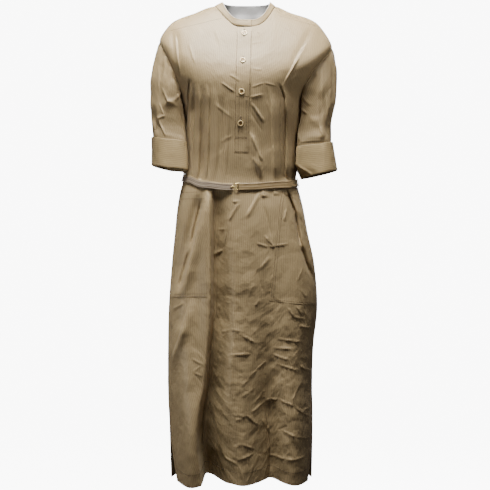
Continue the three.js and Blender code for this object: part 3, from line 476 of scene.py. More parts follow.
def body_point(turn, drop, folded=1, detail=0):
    """The body's surface. turn is in degrees: 0 front, -90 picture's left, -180 back, 90 or -270 right."""
    turn, drop = np.broadcast_arrays(np.asarray(turn, float), np.asarray(drop, float))
    sine, cosine = sine_of(turn), cosine_of(turn)
    on_front = cosine >= 0
    left, right = sides_at(drop)
    x = (left + right) / 2 + (right - left) / 2 * signed_power(sine, SQUARENESS)
    depth = np.where(on_front, section_at("front_y", drop), section_at("back_y", drop))
    middle_z = np.where(on_front, section_at("front_z", drop), section_at("back_z", drop))
    side_z = np.where(sine < 0, section_at("left_z", drop), section_at("right_z", drop))
    z = middle_z + (side_z - middle_z) * np.abs(sine) ** SHOULDER_ROUND
    window = ease(0, FOLD_WINDOW, np.abs(cosine))
    front_folds = fold_depth(FRONT_FOLDS, x, z) + valley_depth(FRONT_VALLEYS, x, z)
    folds = np.where(on_front, front_folds, fold_depth(BACK_FOLDS, x, z))
    fold = folded * window * folds
    outward = np.where(on_front, -1.0, 1.0)
    lift = HEM_LIFT * ease(HEM_LIFT_START, FRONT_HEM_DROP, drop)
    beside_neck = np.exp(-((drop / NECK_RISE_DROP) ** 2)) * np.abs(sine) ** NECK_RISE_ROUND
    z = z + NECK_RISE * beside_neck
    x = x + np.where(sine < 0, -NECK_SPREAD_LEFT, NECK_SPREAD_RIGHT) * beside_neck
    fine = window * fine_relief(x, z, drop, detail) if detail else 0
    y = depth * np.abs(cosine) ** SQUARENESS + outward * (fold + fine)
    return np.stack([x, y, z - lift * fold], axis=-1)


def crumple_share(x, drop, detail):
    """How crumpled the cloth is, from 0 to 1: most over the lower skirt."""
    lower = ease(600, 800, drop)
    if detail == DETAIL_FRONT:
        lower = lower * mix(0.4, 1.0, ease(CALM_SIDE_X, FULL_SIDE_X, x))
        return mix(0.1, 1.0, lower) + 0.12 * ease(230, 330, drop)
    return mix(0.12, 0.8, lower)


def fine_relief(x, z, drop, detail):
    """Creases and crumples in millimetres, outward where positive."""
    free = ease(0, COLLAR_FREE, drop)
    away_from_belt = 1 - np.exp(-(((z - WAIST_Z) / BELT_FREE) ** 2))
    ripple = RIPPLE_DEPTH * soft_noise(x, z, RIPPLE_SIZE, detail * RIPPLE_SEED)
    relief = ripple * mix(0.5, 1.0, ease(300, 760, drop))
    if detail == DETAIL_FRONT:
        lower = ease(620, 860, drop) * mix(0.55, 1.0, ease(CALM_SIDE_X, FULL_SIDE_X, x))
        relief = relief + mix(0.6, 1.7, lower) * BIG_FACETS.at(x, z)
        relief = relief + mix(0.3, 0.9, lower) * SMALL_FACETS.at(x, z)
        relief = relief + CREASE_STRENGTH * crease_depth(FRONT_CREASES, x, z)
        relief = relief + pleat_depth(FRONT_PLEATS, x, z)
    else:
        relief = relief + mix(0.5, 2.6, ease(560, 860, drop)) * BACK_FACETS.at(x, z)
        relief = relief + crease_depth(BACK_CREASES, x, z)
    return free * away_from_belt * relief


SLEEVE_CREASES = [Crease(*row) for row in (
    (164, 50, 160, 84, 6, 1.8), (170, 58, 172, 96, 6, -2.0), (160, 84, 168, 104, 5, 2.4),
    (178, 86, 162, 104, 5, 2.2), (155, 116, 164, 113, 4, 2.8), (156, 118, 165, 136, 5, 2.8),
    (165, 136, 172, 141, 4, 2.4), (162, 112, 158, 100, 5, 1.8), (170, 110, 176, 134, 6, -2.4),
    (156, 62, 157, 92, 5, 1.6), (323, 56, 324, 104, 6, 2.4), (312, 60, 302, 84, 6, 2.4),
    (318, 70, 306, 92, 5, -2.2), (302, 100, 316, 112, 4, 2.4), (316, 112, 324, 134, 6, 2.4),
    (302, 118, 312, 140, 5, 2.2), (312, 140, 330, 138, 4, 2.2), (328, 84, 330, 120, 5, 1.8),
    (308, 92, 318, 104, 5, 1.8),
)]
CUFF_CREASES = [Crease(*row) for row in (
    (311, 190, 312.5, 138, 20, 4.5), (167, 138, 169, 176, 16, 1.6), (178, 178, 180, 140, 12, -1.4),
    (324, 140, 326, 178, 14, 1.4),
)]
BACK_CREASES = [Crease(*row) for row in (
    (206, 60, 214, 84, 6, 1.6), (284, 58, 276, 86, 6, 1.6), (196, 96, 222, 118, 6, 1.8),
    (294, 94, 268, 120, 6, 1.8), (200, 140, 226, 168, 6, 2.0), (288, 142, 262, 170, 6, 2.0),
    (214, 200, 208, 260, 6, 2.2), (232, 205, 240, 250, 6, 1.8), (262, 204, 256, 262, 6, 2.0),
    (284, 198, 292, 262, 6, 2.2), (190, 286, 216, 298, 4, 2.2), (262, 292, 290, 284, 4, 2.2),
    (222, 316, 246, 312, 4, 2.4), (246, 312, 262, 322, 4, 2.2), (198, 344, 224, 352, 4, 2.4),
    (270, 350, 300, 342, 4, 2.4), (232, 378, 256, 372, 4, 2.2), (214, 404, 240, 414, 4, 2.2),
    (258, 410, 288, 402, 4, 2.2), (196, 430, 218, 424, 4, 2.0), (240, 446, 268, 452, 4, 2.0),
)]


def surface_normals(points):
    """Normals of a grid whose rows run down and columns to the right, seen from outside."""
    down, across = np.gradient(points, axis=(0, 1))
    return unit(np.cross(down, across))


def row_lengths(points, middle):
    """How far along its row each point lies from the middle column, in millimetres."""
    steps = np.linalg.norm(np.diff(points, axis=1), axis=-1)
    along = np.concatenate([np.zeros((len(points), 1)), np.cumsum(steps, axis=1)], axis=1)
    return along - along[:, middle][:, None]


def column_lengths(points):
    steps = np.linalg.norm(np.diff(points, axis=0), axis=-1)
    return np.concatenate([np.zeros((1, points.shape[1])), np.cumsum(steps, axis=0)], axis=0)


def armhole_at(side, angle):
    sine = sine_of(angle)
    width = np.where(sine > 0, ARMHOLE_FRONT_TURN, ARMHOLE_BACK_TURN)
    turn = side * (90 - width * sine)
    return turn, ARMHOLE_DROP - ARMHOLE_HALF_DROP * cosine_of(angle)


def shoulder_seam_at(share):
    """The shoulder seam on the picture's left, as turn and drop: share 0 at the armhole, 1 at the neck."""
    top_turn, top_drop = armhole_at(-1, SHOULDER_SEAM_ANGLE)
    way = 1 - share
    swing = abs(top_turn) - NECK_SEAM_TURN
    return -NECK_SEAM_TURN - swing * way ** SHOULDER_SEAM_SWING, top_drop * way


def side_rows(arc_end, hem_drop, corner_turn, pitch):
    """The rows of one side edge as turn, drop and share of the way down."""
    arc = np.linspace(0, 1, ARMHOLE_ROWS + 1)
    arc_turn, arc_drop = armhole_at(-1, mix(SHOULDER_SEAM_ANGLE, arc_end, arc))
    side_count = round((SLIT_DROP - UNDERARM_DROP) / pitch)
    side_drop = np.linspace(UNDERARM_DROP, SLIT_DROP, side_count + 1)[1:]
    slit_count = round((hem_drop - SLIT_DROP) / pitch)
    along = np.linspace(0, 1, slit_count + 1)[1:]
    slit_drop = mix(SLIT_DROP, hem_drop, along)
    slit_turn = mix(-90, corner_turn, along ** SLIT_OPENING)
    turn = np.concatenate([arc_turn, np.full(side_count, -90.0), slit_turn])
    drop = np.concatenate([arc_drop, side_drop, slit_drop])
    below = (drop - UNDERARM_DROP) / (hem_drop - UNDERARM_DROP)
    share = mix(ARMHOLE_SHARE, 1, below)
    share[:ARMHOLE_ROWS + 1] = ARMHOLE_SHARE * arc
    return turn, drop, share


def panel_places(first, last, top, hem, hem_drop):
    """Turn and drop of each point of a panel between its sides, its top line and its hem."""
    level = mix(ARMHOLE_SHARE, 1, (LEVEL_DROP - UNDERARM_DROP) / (hem_drop - UNDERARM_DROP))
    drop_weight = np.maximum(0, 1 - first[2] / level) ** LEVELLING
    turn_weight = drop_weight ** TURN_LEVELLING
    share = np.linspace(0, 1, len(top[0]))
    places = []
    for key, weight in ((0, turn_weight), (1, drop_weight)):
        straight = mix(first[key][:, None], last[key][:, None], share[None, :])
        top_bow = top[key] - mix(top[key][0], top[key][-1], share)
        hem_bow = hem[key] - mix(hem[key][0], hem[key][-1], share)
        places.append(straight + weight[:, None] * top_bow + (1 - weight)[:, None] * hem_bow)
    return places


def front_turn_at(x, drop):
    left, right = sides_at(drop)
    across = np.clip((2 * x - left - right) / (right - left), -1, 1)
    return np.degrees(np.arcsin(signed_power(across, 1 / SQUARENESS)))


def top_line(kind):
    """The shoulder seam, the neck and the other shoulder seam, as turn and drop."""
    shoulder = shoulder_seam_at(np.linspace(0, 1, SHOULDER_COLUMNS[kind] + 1))
    neck_share = np.linspace(0, 1, NECK_COLUMNS[kind] + 1)[1:-1]
    neck_drop = np.zeros(len(neck_share))
    if kind == "front":
        neck_turn = mix(-NECK_SEAM_TURN, NECK_SEAM_TURN, neck_share)
        turn = np.concatenate([shoulder[0], neck_turn, -shoulder[0][::-1]])
    else:
        neck_turn = mix(NECK_SEAM_TURN - 360, -NECK_SEAM_TURN, neck_share)
        turn = np.concatenate([-shoulder[0] - 360, neck_turn, shoulder[0][::-1]])
    drop = np.concatenate([shoulder[1], neck_drop, shoulder[1][::-1]])
    return turn, drop


def front_places():
    top = top_line("front")
    share = np.linspace(0, 1, len(top[0]))
    hem_turn = front_turn_at(mix(FRONT_HEM_LEFT_X, FRONT_HEM_RIGHT_X, share), FRONT_HEM_DROP)
    hem = hem_turn, np.full(len(share), float(FRONT_HEM_DROP))
    left = side_rows(UNDERARM_ANGLE, FRONT_HEM_DROP, hem_turn[0], FRONT_ROW_PITCH)
    right = side_rows(UNDERARM_ANGLE, FRONT_HEM_DROP, -hem_turn[-1], FRONT_ROW_PITCH)
    return panel_places(left, (-right[0], right[1], right[2]), top, hem, FRONT_HEM_DROP)


def back_places():
    top = top_line("back")
    share = np.linspace(0, 1, len(top[0]))
    corner_turn = -90 - BACK_SLIT_TURN
    corner_sine = signed_power(math.sin(math.radians(corner_turn)), SQUARENESS)
    sine = signed_power(mix(-corner_sine, corner_sine, share), 1 / SQUARENESS)
    hem = -180 - np.degrees(np.arcsin(np.clip(sine, -1, 1))), np.full(len(share), float(BACK_HEM_DROP))
    left = side_rows(-UNDERARM_ANGLE, BACK_HEM_DROP, corner_turn, BACK_ROW_PITCH)
    right = -left[0] - 360, left[1], left[2]
    return panel_places(right, left, top, hem, BACK_HEM_DROP)


OUTER_FACES = {"points": [], "quads": [], "count": 0}


def remember_surface(points, quads):
    """Keeps the outer surfaces, so that stitches and buttons can be set on what the camera sees."""
    OUTER_FACES["points"].extend(points.reshape(-1, 3).tolist())
    OUTER_FACES["quads"].extend((quads + OUTER_FACES["count"]).tolist())
    OUTER_FACES["count"] += points.size // 3


EDGE_CELL = 0.28


def between_rows(grid, places, axis):
    """The rows of a grid at places that may lie between two of them."""
    low = np.minimum(places.astype(int), grid.shape[axis] - 2)
    shape = [1] * grid.ndim
    shape[axis] = len(places)
    share = (places - low).reshape(shape)
    return mix(np.take(grid, low, axis), np.take(grid, low + 1, axis), share)


def turned_edges(points, cloth, depth=PANEL_CLOTH, cells=TURN_CELLS):
    """A sheet with its edges turned in all round, by a few cells of its grid."""
    normal = surface_normals(points)
    for axis in (0, 1):
        last = points.shape[axis] - 1
        inside = [EDGE_CELL, *range(1, last), last - EDGE_CELL]
        order = np.array([cells, 0, 0, *inside, last, last, last - cells], float)
        depths = np.zeros(len(order))
        depths[[1, -2]] = depth
        depths[[0, -1]] = 1.4 * depth
        shape = [1, 1, 1]
        shape[axis] = len(order)
        normal = between_rows(normal, order, axis)
        points = between_rows(points, order, axis) - normal * depths.reshape(shape)
        cloth = between_rows(cloth, order, axis)
    return points, cloth


def new_mesh(name, points, faces, smooth):
    """A mesh in metres of points in millimetres."""
    mesh = bpy.data.meshes.new(name)
    mesh.from_pydata((np.reshape(points, (-1, 3)) * MM).tolist(), [], faces)
    mesh.polygons.foreach_set("use_smooth", [smooth] * len(mesh.polygons))
    return mesh


def new_object(name, data):
    made = bpy.data.objects.new(name, data)
    bpy.context.scene.collection.objects.link(made)
    return made


def grid_mesh(name, points, cloth, closed=False):
    """A mesh of a grid of points in millimetres, with its place in the flat cloth as an attribute."""
    rows, columns = points.shape[:2]
    corner = np.arange(rows * columns).reshape(rows, columns)
    beside = np.roll(corner, -1, axis=1)
    spans = columns if closed else columns - 1
    quads = np.stack([
        corner[:-1, :spans], corner[1:, :spans], beside[1:, :spans], beside[:-1, :spans],
    ], axis=-1).reshape(-1, 4)
    remember_surface(points, quads)
    mesh = new_mesh(name, points, quads.tolist(), smooth=True)
    attribute = mesh.attributes.new("cloth", "FLOAT_VECTOR", "POINT")
    flat = np.full((rows * columns, 3), 0.2)
    flat[:, :cloth.shape[-1]] = cloth.reshape(-1, cloth.shape[-1])
    attribute.data.foreach_set("vector", flat.ravel())
    mesh.update()
    return mesh


def add_piece(name, mesh, material, replaces=(), thickness=0):
    piece = new_object(name, mesh)
    mesh.materials.append(material)
    if thickness:
        solid = piece.modifiers.new("Wall", "SOLIDIFY")
        solid.thickness = thickness * MM
        solid.offset = -1
        piece.modifiers.new("Edges", "WEIGHTED_NORMAL")
    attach(piece, "root")
    if replaces:
        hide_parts(*replaces)
    return piece


def cloth_grid(points, middle=None, crumple=0.2):
    """Across and down, in millimetres of flat cloth, and how crumpled it is, for each point of a grid."""
    centre = points.shape[1] // 2 if middle is None else middle
    across = row_lengths(points, centre)
    return np.stack([across, column_lengths(points), crumple + 0 * across], axis=-1)


# Materials

STRIPE_PITCH = 4.7


class Nodes:
    """A material's node tree, with short calls for what the cloths share."""

    def __init__(self, name):
        self.material = bpy.data.materials.new(name)
        self.material.use_nodes = True
        self.tree = self.material.node_tree
        self.shader = self.tree.nodes["Principled BSDF"]

    def add(self, kind, values=None, **settings):
        node = self.tree.nodes.new(kind)
        for key, value in settings.items():
            setattr(node, key, value)
        for key, value in (values or {}).items():
            if isinstance(value, bpy.types.NodeSocket):
                self.tree.links.new(value, node.inputs[key])
            else:
                node.inputs[key].default_value = value
        return node

    def math(self, operation, first, second=0.0):
        return self.add("ShaderNodeMath", {0: first, 1: second}, operation=operation).outputs[0]

    def times(self, first, second):
        return self.math("MULTIPLY", first, second)

    def plus(self, first, second):
        return self.math("ADD", first, second)

    def vectors(self, operation, first, second):
        return self.add("ShaderNodeVectorMath", {0: first, 1: second}, operation=operation).outputs[0]

    def range(self, value, low, high, to_low, to_high):
        node = self.add("ShaderNodeMapRange", {
            "Value": value, "From Min": low, "From Max": high, "To Min": to_low, "To Max": to_high,
        }, interpolation_type="SMOOTHSTEP")
        return node.outputs["Result"]

    def blend(self, factor, first, second):
        node = self.add("ShaderNodeMix", data_type="RGBA", blend_type="MIX")
        for socket, value in ((node.inputs[0], factor), (node.inputs[6], first), (node.inputs[7], second)):
            if isinstance(value, bpy.types.NodeSocket):
                self.tree.links.new(value, socket)
            else:
                socket.default_value = value
        return node.outputs[2]

    def noise(self, vector, scale, detail=2.0, rough=0.5):
        node = self.add("ShaderNodeTexNoise", {
            "Vector": vector, "Scale": scale, "Detail": detail, "Roughness": rough,
        })
        return node.outputs["Fac"]

    def link(self, output, name):
        self.tree.links.new(output, self.shader.inputs[name])

    def colour(self, base, value):
        """The base colour, made darker and lighter by a value about 1."""
        mixed = self.add("ShaderNodeHueSaturation", {"Color": base, "Value": value})
        self.link(mixed.outputs[0], "Base Color")

    def bump(self, height, strength):
        bump = self.add("ShaderNodeBump", {"Height": height, "Strength": strength, "Distance": MM})
        self.link(bump.outputs[0], "Normal")

    def settle(self, **values):
        """Sets the shader's own sockets."""
        for name, value in values.items():
            self.shader.inputs[name.replace("_", " ")].default_value = value


def rgb(red, green, blue):
    """A colour given as it looks on the screen, from 0 to 255, as linear light."""
    def linear(value):
        share = value / 255
        return share / 12.92 if share <= 0.04045 else ((share + 0.055) / 1.055) ** 2.4
    return (linear(red), linear(green), linear(blue), 1.0)


LINE_STRENGTH = 0.6
WEAVE_PITCH = 0.55
POPLIN_BUMP = 0.66
# Facets of the bump: their size and depth, and how far their borders wander
BUMP_FACETS = [(31, 1.7), (13, 0.4)]
FACET_WANDER = 14.0


def poplin_material(name, ground, line, stripes="across"):
    """Woven cotton with fine lines one pitch apart, small crumples, a weave and a slight sheen."""
    nodes = Nodes(name)
    stored = nodes.add("ShaderNodeAttribute", attribute_name="cloth").outputs["Vector"]
    across, along, crumpled = nodes.add("ShaderNodeSeparateXYZ", {0: stored}).outputs
    cloth = nodes.vectors("MULTIPLY", stored, (1.0, 1.0, 0.0))
    counted, other = (across, along) if stripes == "across" else (along, across)
    phase = nodes.math("FRACT", nodes.times(counted, 1 / STRIPE_PITCH))
    aside = nodes.math("ABSOLUTE", nodes.math("SUBTRACT", phase, 0.5))
    line_mask = nodes.range(aside, 0.06, 0.2, 1.0, 0.0)
    uneven = nodes.range(nodes.noise(cloth, 0.05, 3.0), 0.3, 0.7, 0.7, 1.0)
    stripe = nodes.times(nodes.times(line_mask, uneven), LINE_STRENGTH)
    slub_place = nodes.add("ShaderNodeCombineXYZ", {"X": counted, "Y": nodes.times(other, 0.08)})
    slub = nodes.noise(slub_place.outputs[0], 1.6, 2.0)
    patch = nodes.noise(cloth, 0.012, 3.0)
    shade = nodes.plus(nodes.range(slub, 0.3, 0.7, -0.05, 0.05), nodes.range(patch, 0.3, 0.7, -0.04, 0.04))
    nodes.colour(nodes.blend(stripe, ground, line), nodes.plus(shade, 1.0))
    waves = [nodes.math("SINE", nodes.times(way, 2 * math.pi / WEAVE_PITCH)) for way in (across, along)]
    weave = nodes.times(nodes.times(*waves), 0.02)
    wander = nodes.add("ShaderNodeTexNoise", {"Vector": cloth, "Scale": 0.02, "Detail": 2.0}).outputs["Color"]
    moved = nodes.vectors("ADD", cloth, nodes.vectors("MULTIPLY", wander, (FACET_WANDER, FACET_WANDER, 0.0)))
    facets = 0.0
    for size, depth in BUMP_FACETS:
        cells = nodes.add("ShaderNodeTexVoronoi", {"Vector": moved, "Scale": 1 / size}, distance="MANHATTAN")
        facets = nodes.plus(facets, nodes.times(cells.outputs["Distance"], depth))
    crumple = nodes.times(nodes.noise(cloth, 0.09, 4.0, 0.55), 0.9)
    nodes.bump(nodes.plus(nodes.plus(crumple, nodes.times(facets, crumpled)), weave), POPLIN_BUMP)
    nodes.link(nodes.range(slub, 0.3, 0.7, 0.46, 0.58), "Roughness")
    nodes.settle(
        Sheen_Weight=0.08, Sheen_Roughness=0.45, Sheen_Tint=(1.0, 0.9, 0.72, 1.0), Specular_IOR_Level=0.42,
    )
    return nodes.material


def plain_cotton(name, colour, bump_strength=0.4):
    nodes = Nodes(name)
    cloth = nodes.add("ShaderNodeAttribute", attribute_name="cloth").outputs["Vector"]
    slub = nodes.noise(cloth, 1.1, 3.0)
    nodes.colour(colour, nodes.range(slub, 0.3, 0.7, 0.94, 1.05))
    nodes.bump(nodes.plus(nodes.noise(cloth, 0.12, 3.0), nodes.times(slub, 0.15)), bump_strength)
    nodes.settle(Roughness=0.8, Sheen_Weight=0.2)
    return nodes.material


BELT_LINE_PITCH = 4.1
BELT_EDGE = 2.4


def belt_back(name, ground, line, edge):
    """The belt's reverse: pale cloth with darker lines along it, and the face's cloth at its upper edge."""
    nodes = Nodes(name)
    stored = nodes.add("ShaderNodeAttribute", attribute_name="cloth").outputs["Vector"]
    down = nodes.add("ShaderNodeSeparateXYZ", {0: stored}).outputs["Y"]
    phase = nodes.math("FRACT", nodes.times(down, 1 / BELT_LINE_PITCH))
    aside = nodes.math("ABSOLUTE", nodes.math("SUBTRACT", phase, 0.5))
    lines = nodes.blend(nodes.range(aside, 0.08, 0.24, 0.8, 0.0), ground, line)
    base = nodes.blend(nodes.range(down, BELT_EDGE, BELT_EDGE + 0.5, 1.0, 0.0), lines, edge)
    nodes.colour(base, nodes.range(nodes.noise(stored, 0.5, 3.0), 0.3, 0.7, 0.9, 1.08))
    nodes.bump(nodes.plus(nodes.noise(stored, 0.2, 3.0), nodes.times(aside, 0.8)), 0.5)
    nodes.settle(Roughness=0.78)
    return nodes.material


def hard_material(name, colour, roughness, metallic=0.0, coat=0.0):
    nodes = Nodes(name)
    place = nodes.add("ShaderNodeTexCoord").outputs["Object"]
    cloud = nodes.noise(place, 160.0, 3.0)
    nodes.colour(colour, nodes.range(cloud, 0.3, 0.7, 0.93, 1.06))
    nodes.link(nodes.range(cloud, 0.3, 0.7, roughness * 0.8, roughness * 1.25), "Roughness")
    nodes.bump(nodes.noise(place, 900.0, 2.0), 0.02)
    nodes.settle(Metallic=metallic, Coat_Weight=coat)
    return nodes.material


KHAKI_GROUND = rgb(157, 138, 107)
KHAKI_LINE = rgb(117, 98, 72)
BAND_GROUND = rgb(161, 141, 106)

poplin = poplin_material("poplin", KHAKI_GROUND, KHAKI_LINE)
poplin_round = poplin_material("poplin_round", BAND_GROUND, KHAKI_LINE, stripes="along")
# The belt's face is the khaki poplin made darker: painted shade.
poplin_belt_painted_shade = poplin_material("poplin_belt_painted_shade", rgb(128, 109, 79), rgb(100, 83, 57), stripes="along")
pale_cotton = plain_cotton("pale_cotton", rgb(164, 164, 170))
# Stitch thread, darker than the cloth so that the rows of stitches also paint the seams' shade: thread colour
# and painted shade in one.
thread = plain_cotton("thread", rgb(78, 62, 40), 0.2)
belt_lining = belt_back("belt_lining", rgb(132, 119, 107), rgb(84, 70, 56), KHAKI_GROUND)
button_shell = hard_material("button_shell", rgb(214, 192, 148), 0.34, coat=0.25)
button_middle = hard_material("button_middle", rgb(150, 118, 72), 0.4, coat=0.1)
# Dark brown for the buttons' holes and the buttonholes' slits: painted shade in the openings.
button_hole_painted_shade = hard_material("button_hole_painted_shade", rgb(70, 52, 34), 0.6)
clasp_metal = hard_material("clasp_metal", rgb(214, 190, 134), 0.25, metallic=1.0)

# Panels


def panel(name, turn, drop, detail):
    points = body_point(turn, drop, detail=detail)
    cloth = cloth_grid(points, crumple=crumple_share(points[..., 0], drop, detail))
    add_piece(name, grid_mesh(name, *turned_edges(points, cloth)), poplin, [f"{name}_panel"])
    return points


front_points = panel("front", *front_places(), DETAIL_FRONT)
back_points = panel("back", *back_places(), DETAIL_BACK)


# Sleeves and cuffs

Sleeve = namedtuple("Sleeve", "name side tilt top_x top_z top_width end_x end_z end_width folds")
SleeveFold = namedtuple("SleeveFold", "angle share angle_width share_width depth")
SHARED_SLEEVE_FOLDS = [SleeveFold(*row) for row in (
    (48, 0.82, 16, 0.12, -6), (70, 0.55, 14, 0.2, -4), (110, 0.6, 14, 0.3, -5), (20, 0.45, 14, 0.25, 3),
    (230, 0.6, 16, 0.25, -5), (300, 0.55, 15, 0.25, -5),
)]
LEFT_SLEEVE_FOLDS = [SleeveFold(*row) for row in (
    (30, 0.86, 9, 0.05, 3.5), (60, 0.78, 10, 0.04, 3), (85, 0.35, 7, 0.2, 2.2), (58, 0.25, 6, 0.16, -2),
)]
RIGHT_SLEEVE_FOLDS = [SleeveFold(*row) for row in (
    (36, 0.3, 6, 0.2, -2.4), (66, 0.4, 7, 0.22, 2.4), (80, 0.9, 12, 0.06, 3), (50, 0.66, 8, 0.12, 2.2),
)]
SLEEVES = [
    Sleeve("left", -1, 12, -196, -330, 38, -191, -402, 43, SHARED_SLEEVE_FOLDS + LEFT_SLEEVE_FOLDS),
    Sleeve("right", 1, 13, 184, -343, 36, 189, -415, 43, SHARED_SLEEVE_FOLDS + RIGHT_SLEEVE_FOLDS),
]
SLEEVE_DEPTH_TOP = 58
SLEEVE_DEPTH_END = 61
SLEEVE_Y = -8
SLEEVE_LEAN = 0.27
SLEEVE_TOP_LEAN = 0.15
CUFF_STEP = 4
FAR_AWAY = 500
RING_SQUARENESS = 0.85
BODY_CLEARANCE = 1.5
INNER_REACH = 1.3
RING_POINTS = 160
SLEEVE_ROW_SHARES = np.linspace(0, 1, 84)
CUFF_CLING = {"left": 1.2, "right": 0.6}
CUFF_CLING_FADE = 0.4
# The sleeve goes on inside its cuff, by these shares of the cuff
SLEEVE_IN_CUFF = np.linspace(0.06, 0.97, 14)
# Rows of a cuff: share of its height and how far out; the last ones turn in round its edge
CUFF_ROWS = [(share, CUFF_STEP) for share in np.linspace(0, 0.98, 26)]
CUFF_ROWS += [(0.997, CUFF_STEP - 0.5), (1.006, CUFF_STEP - 1.5), (1.009, CUFF_STEP - 3), (1.004, -0.6)]
GATHERS = 15
GATHER_DEPTH = 1.3
GATHER_REACH = 0.12
SLEEVE_CRUMPLE = 2.2
# Front and back of a sleeve take their crumple from places this far apart
FACET_SIDE_SHIFT = 40
CUFF_SWELL = 0.9


def cuff_point(sleeve, angle, share, step):
    tilt = math.radians(sleeve.tilt)
    width = mix(sleeve.top_width, sleeve.end_width, share) + step
    depth = mix(SLEEVE_DEPTH_TOP, SLEEVE_DEPTH_END, share) + step
    outward = width * signed_power(cosine_of(angle), RING_SQUARENESS)
    outward = outward * np.where(outward < 0, mix(INNER_REACH, 1.05, share), 1.0)
    forward = depth * signed_power(sine_of(angle), RING_SQUARENESS)
    return np.stack([
        mix(sleeve.top_x, sleeve.end_x, share) + sleeve.side * outward * math.cos(tilt),
        SLEEVE_Y - forward,
        mix(sleeve.top_z, sleeve.end_z, share) + outward * math.sin(tilt),
    ], axis=-1)


def beside_body(points, side, clearance):
    """Keeps sleeve points beside the body."""
    drop = np.maximum(DROP_AT_ZERO - points[..., 2], UNDERARM_DROP)
    left, right = sides_at(drop)
    y = points[..., 1]
    depth = np.abs(np.where(y < 0, section_at("front_y", drop), section_at("back_y", drop)))
    share = np.minimum(np.abs(y) / depth, 1)
    across = (1 - share ** (2 / SQUARENESS)) ** (SQUARENESS / 2)
    edge = (left + right) / 2 + side * ((right - left) / 2 * across + clearance)
    moved = points.copy()
    moved[..., 0] = np.where(side * points[..., 0] < side * edge, edge, points[..., 0])
    return moved


def cling(points, side, amount, clearance=BODY_CLEARANCE):
    """Moves the inner side of a sleeve towards the side of the body."""
    beside = beside_body(points, side, clearance)
    across_body = points.copy()
    across_body[..., 0] = -side * FAR_AWAY
    lying = beside_body(across_body, side, clearance)
    beside[..., 0] = mix(beside[..., 0], lying[..., 0], amount)
    return beside


def body_normal(turn, drop, folded=1):
    above = np.maximum(np.asarray(drop, float) - 3, 0)
    down = body_point(turn, drop + 3, folded) - body_point(turn, above, folded)
    across = body_point(turn + 1.5, drop, folded) - body_point(turn - 1.5, drop, folded)
    return unit(np.cross(down, across))


def sleeve_points(sleeve, angle, share):
    angle, share = np.broadcast_arrays(angle, share)
    turn, drop = armhole_at(sleeve.side, angle)
    cosine = cosine_of(angle)
    leaning = sleeve.side * (SLEEVE_LEAN + SLEEVE_TOP_LEAN * cosine)
    away = unit(np.stack([leaning, 0 * cosine, 0 * cosine - 1], axis=-1))
    seam = body_point(turn, drop) + away * (SEAM_GAP / 2)
    seam = seam + body_normal(turn, drop) * (SEAM_GAP * (1 - cosine) / 2)[..., None]
    end = cuff_point(sleeve, angle, 0, 0)
    reach = np.linalg.norm(end - seam, axis=-1, keepdims=True)
    axis = unit(np.array([sleeve.end_x - sleeve.top_x, 0.0, sleeve.end_z - sleeve.top_z]))
    t = share[..., None]
    points = (
        seam * (2 * t ** 3 - 3 * t ** 2 + 1) + away * reach * (t ** 3 - 2 * t ** 2 + t)
        + end * (3 * t ** 2 - 2 * t ** 3) + axis * reach * (t ** 3 - t ** 2)
    )
    fold = np.zeros_like(cosine)
    for shape in sleeve.folds:
        turned = (angle - shape.angle + 180) % 360 - 180
        spread = (turned / shape.angle_width) ** 2 + ((share - shape.share) / shape.share_width) ** 2
        fold = fold + shape.depth * np.exp(-spread)
    gather = sine_of(angle * GATHERS) * np.exp(-(share / GATHER_REACH) ** 2) * ease(-1.0, 0.4, cosine)
    crumple = soft_noise(angle, share * 200, 24, 11.0 + sleeve.side)
    inner = ease(0, 0.15, share) * (1 - ease(0.9, 1, share))
    crumple = crumple * ease(0, 0.1, share) * (1 - ease(0.92, 1, share))
    fold = fold * inner + GATHER_DEPTH * gather * ease(0, 0.04, share) + crumple
    points[..., 0] += sleeve.side * cosine * fold
    points[..., 1] -= sine_of(angle) * fold
    window = ease(0.1, 0.6, sine_of(angle)) * inner
    drawn = CREASE_STRENGTH * crease_depth(SLEEVE_CREASES, points[..., 0], points[..., 2])
    facet_x = points[..., 0] + FACET_SIDE_SHIFT * np.sign(points[..., 1])
    crumpled = SLEEVE_CRUMPLE * SLEEVE_FACETS.at(facet_x, points[..., 2])
    points[..., 1] -= window * drawn + inner * sine_of(angle) * crumpled
    points[..., 0] += sleeve.side * inner * cosine * crumpled
    return cling(points, sleeve.side, np.maximum(-cosine, 0) ** 0.5 * ease(0, 0.12, share))


def cuff_cling(sleeve, angles, share):
    """How closely a cuff's inner side follows the body, from 0 to 1."""
    start = CUFF_CLING[sleeve.name]
    return np.maximum(-cosine_of(angles), 0) ** 0.5 * (1 - ease(start, start + CUFF_CLING_FADE, share))


def ring_angles(side):
    angles = np.linspace(0, 360, RING_POINTS, endpoint=False) + SHOULDER_SEAM_ANGLE
    return angles if side < 0 else angles[::-1]


def ring_piece(node, points, material):
    """A closed ring of cloth that stands for a node; its first column is the shoulder seam."""
    mesh = grid_mesh(f"{node}_cloth", points, cloth_grid(points, middle=0), closed=True)
    add_piece(f"{node}_cloth", mesh, material, [node], PANEL_CLOTH)


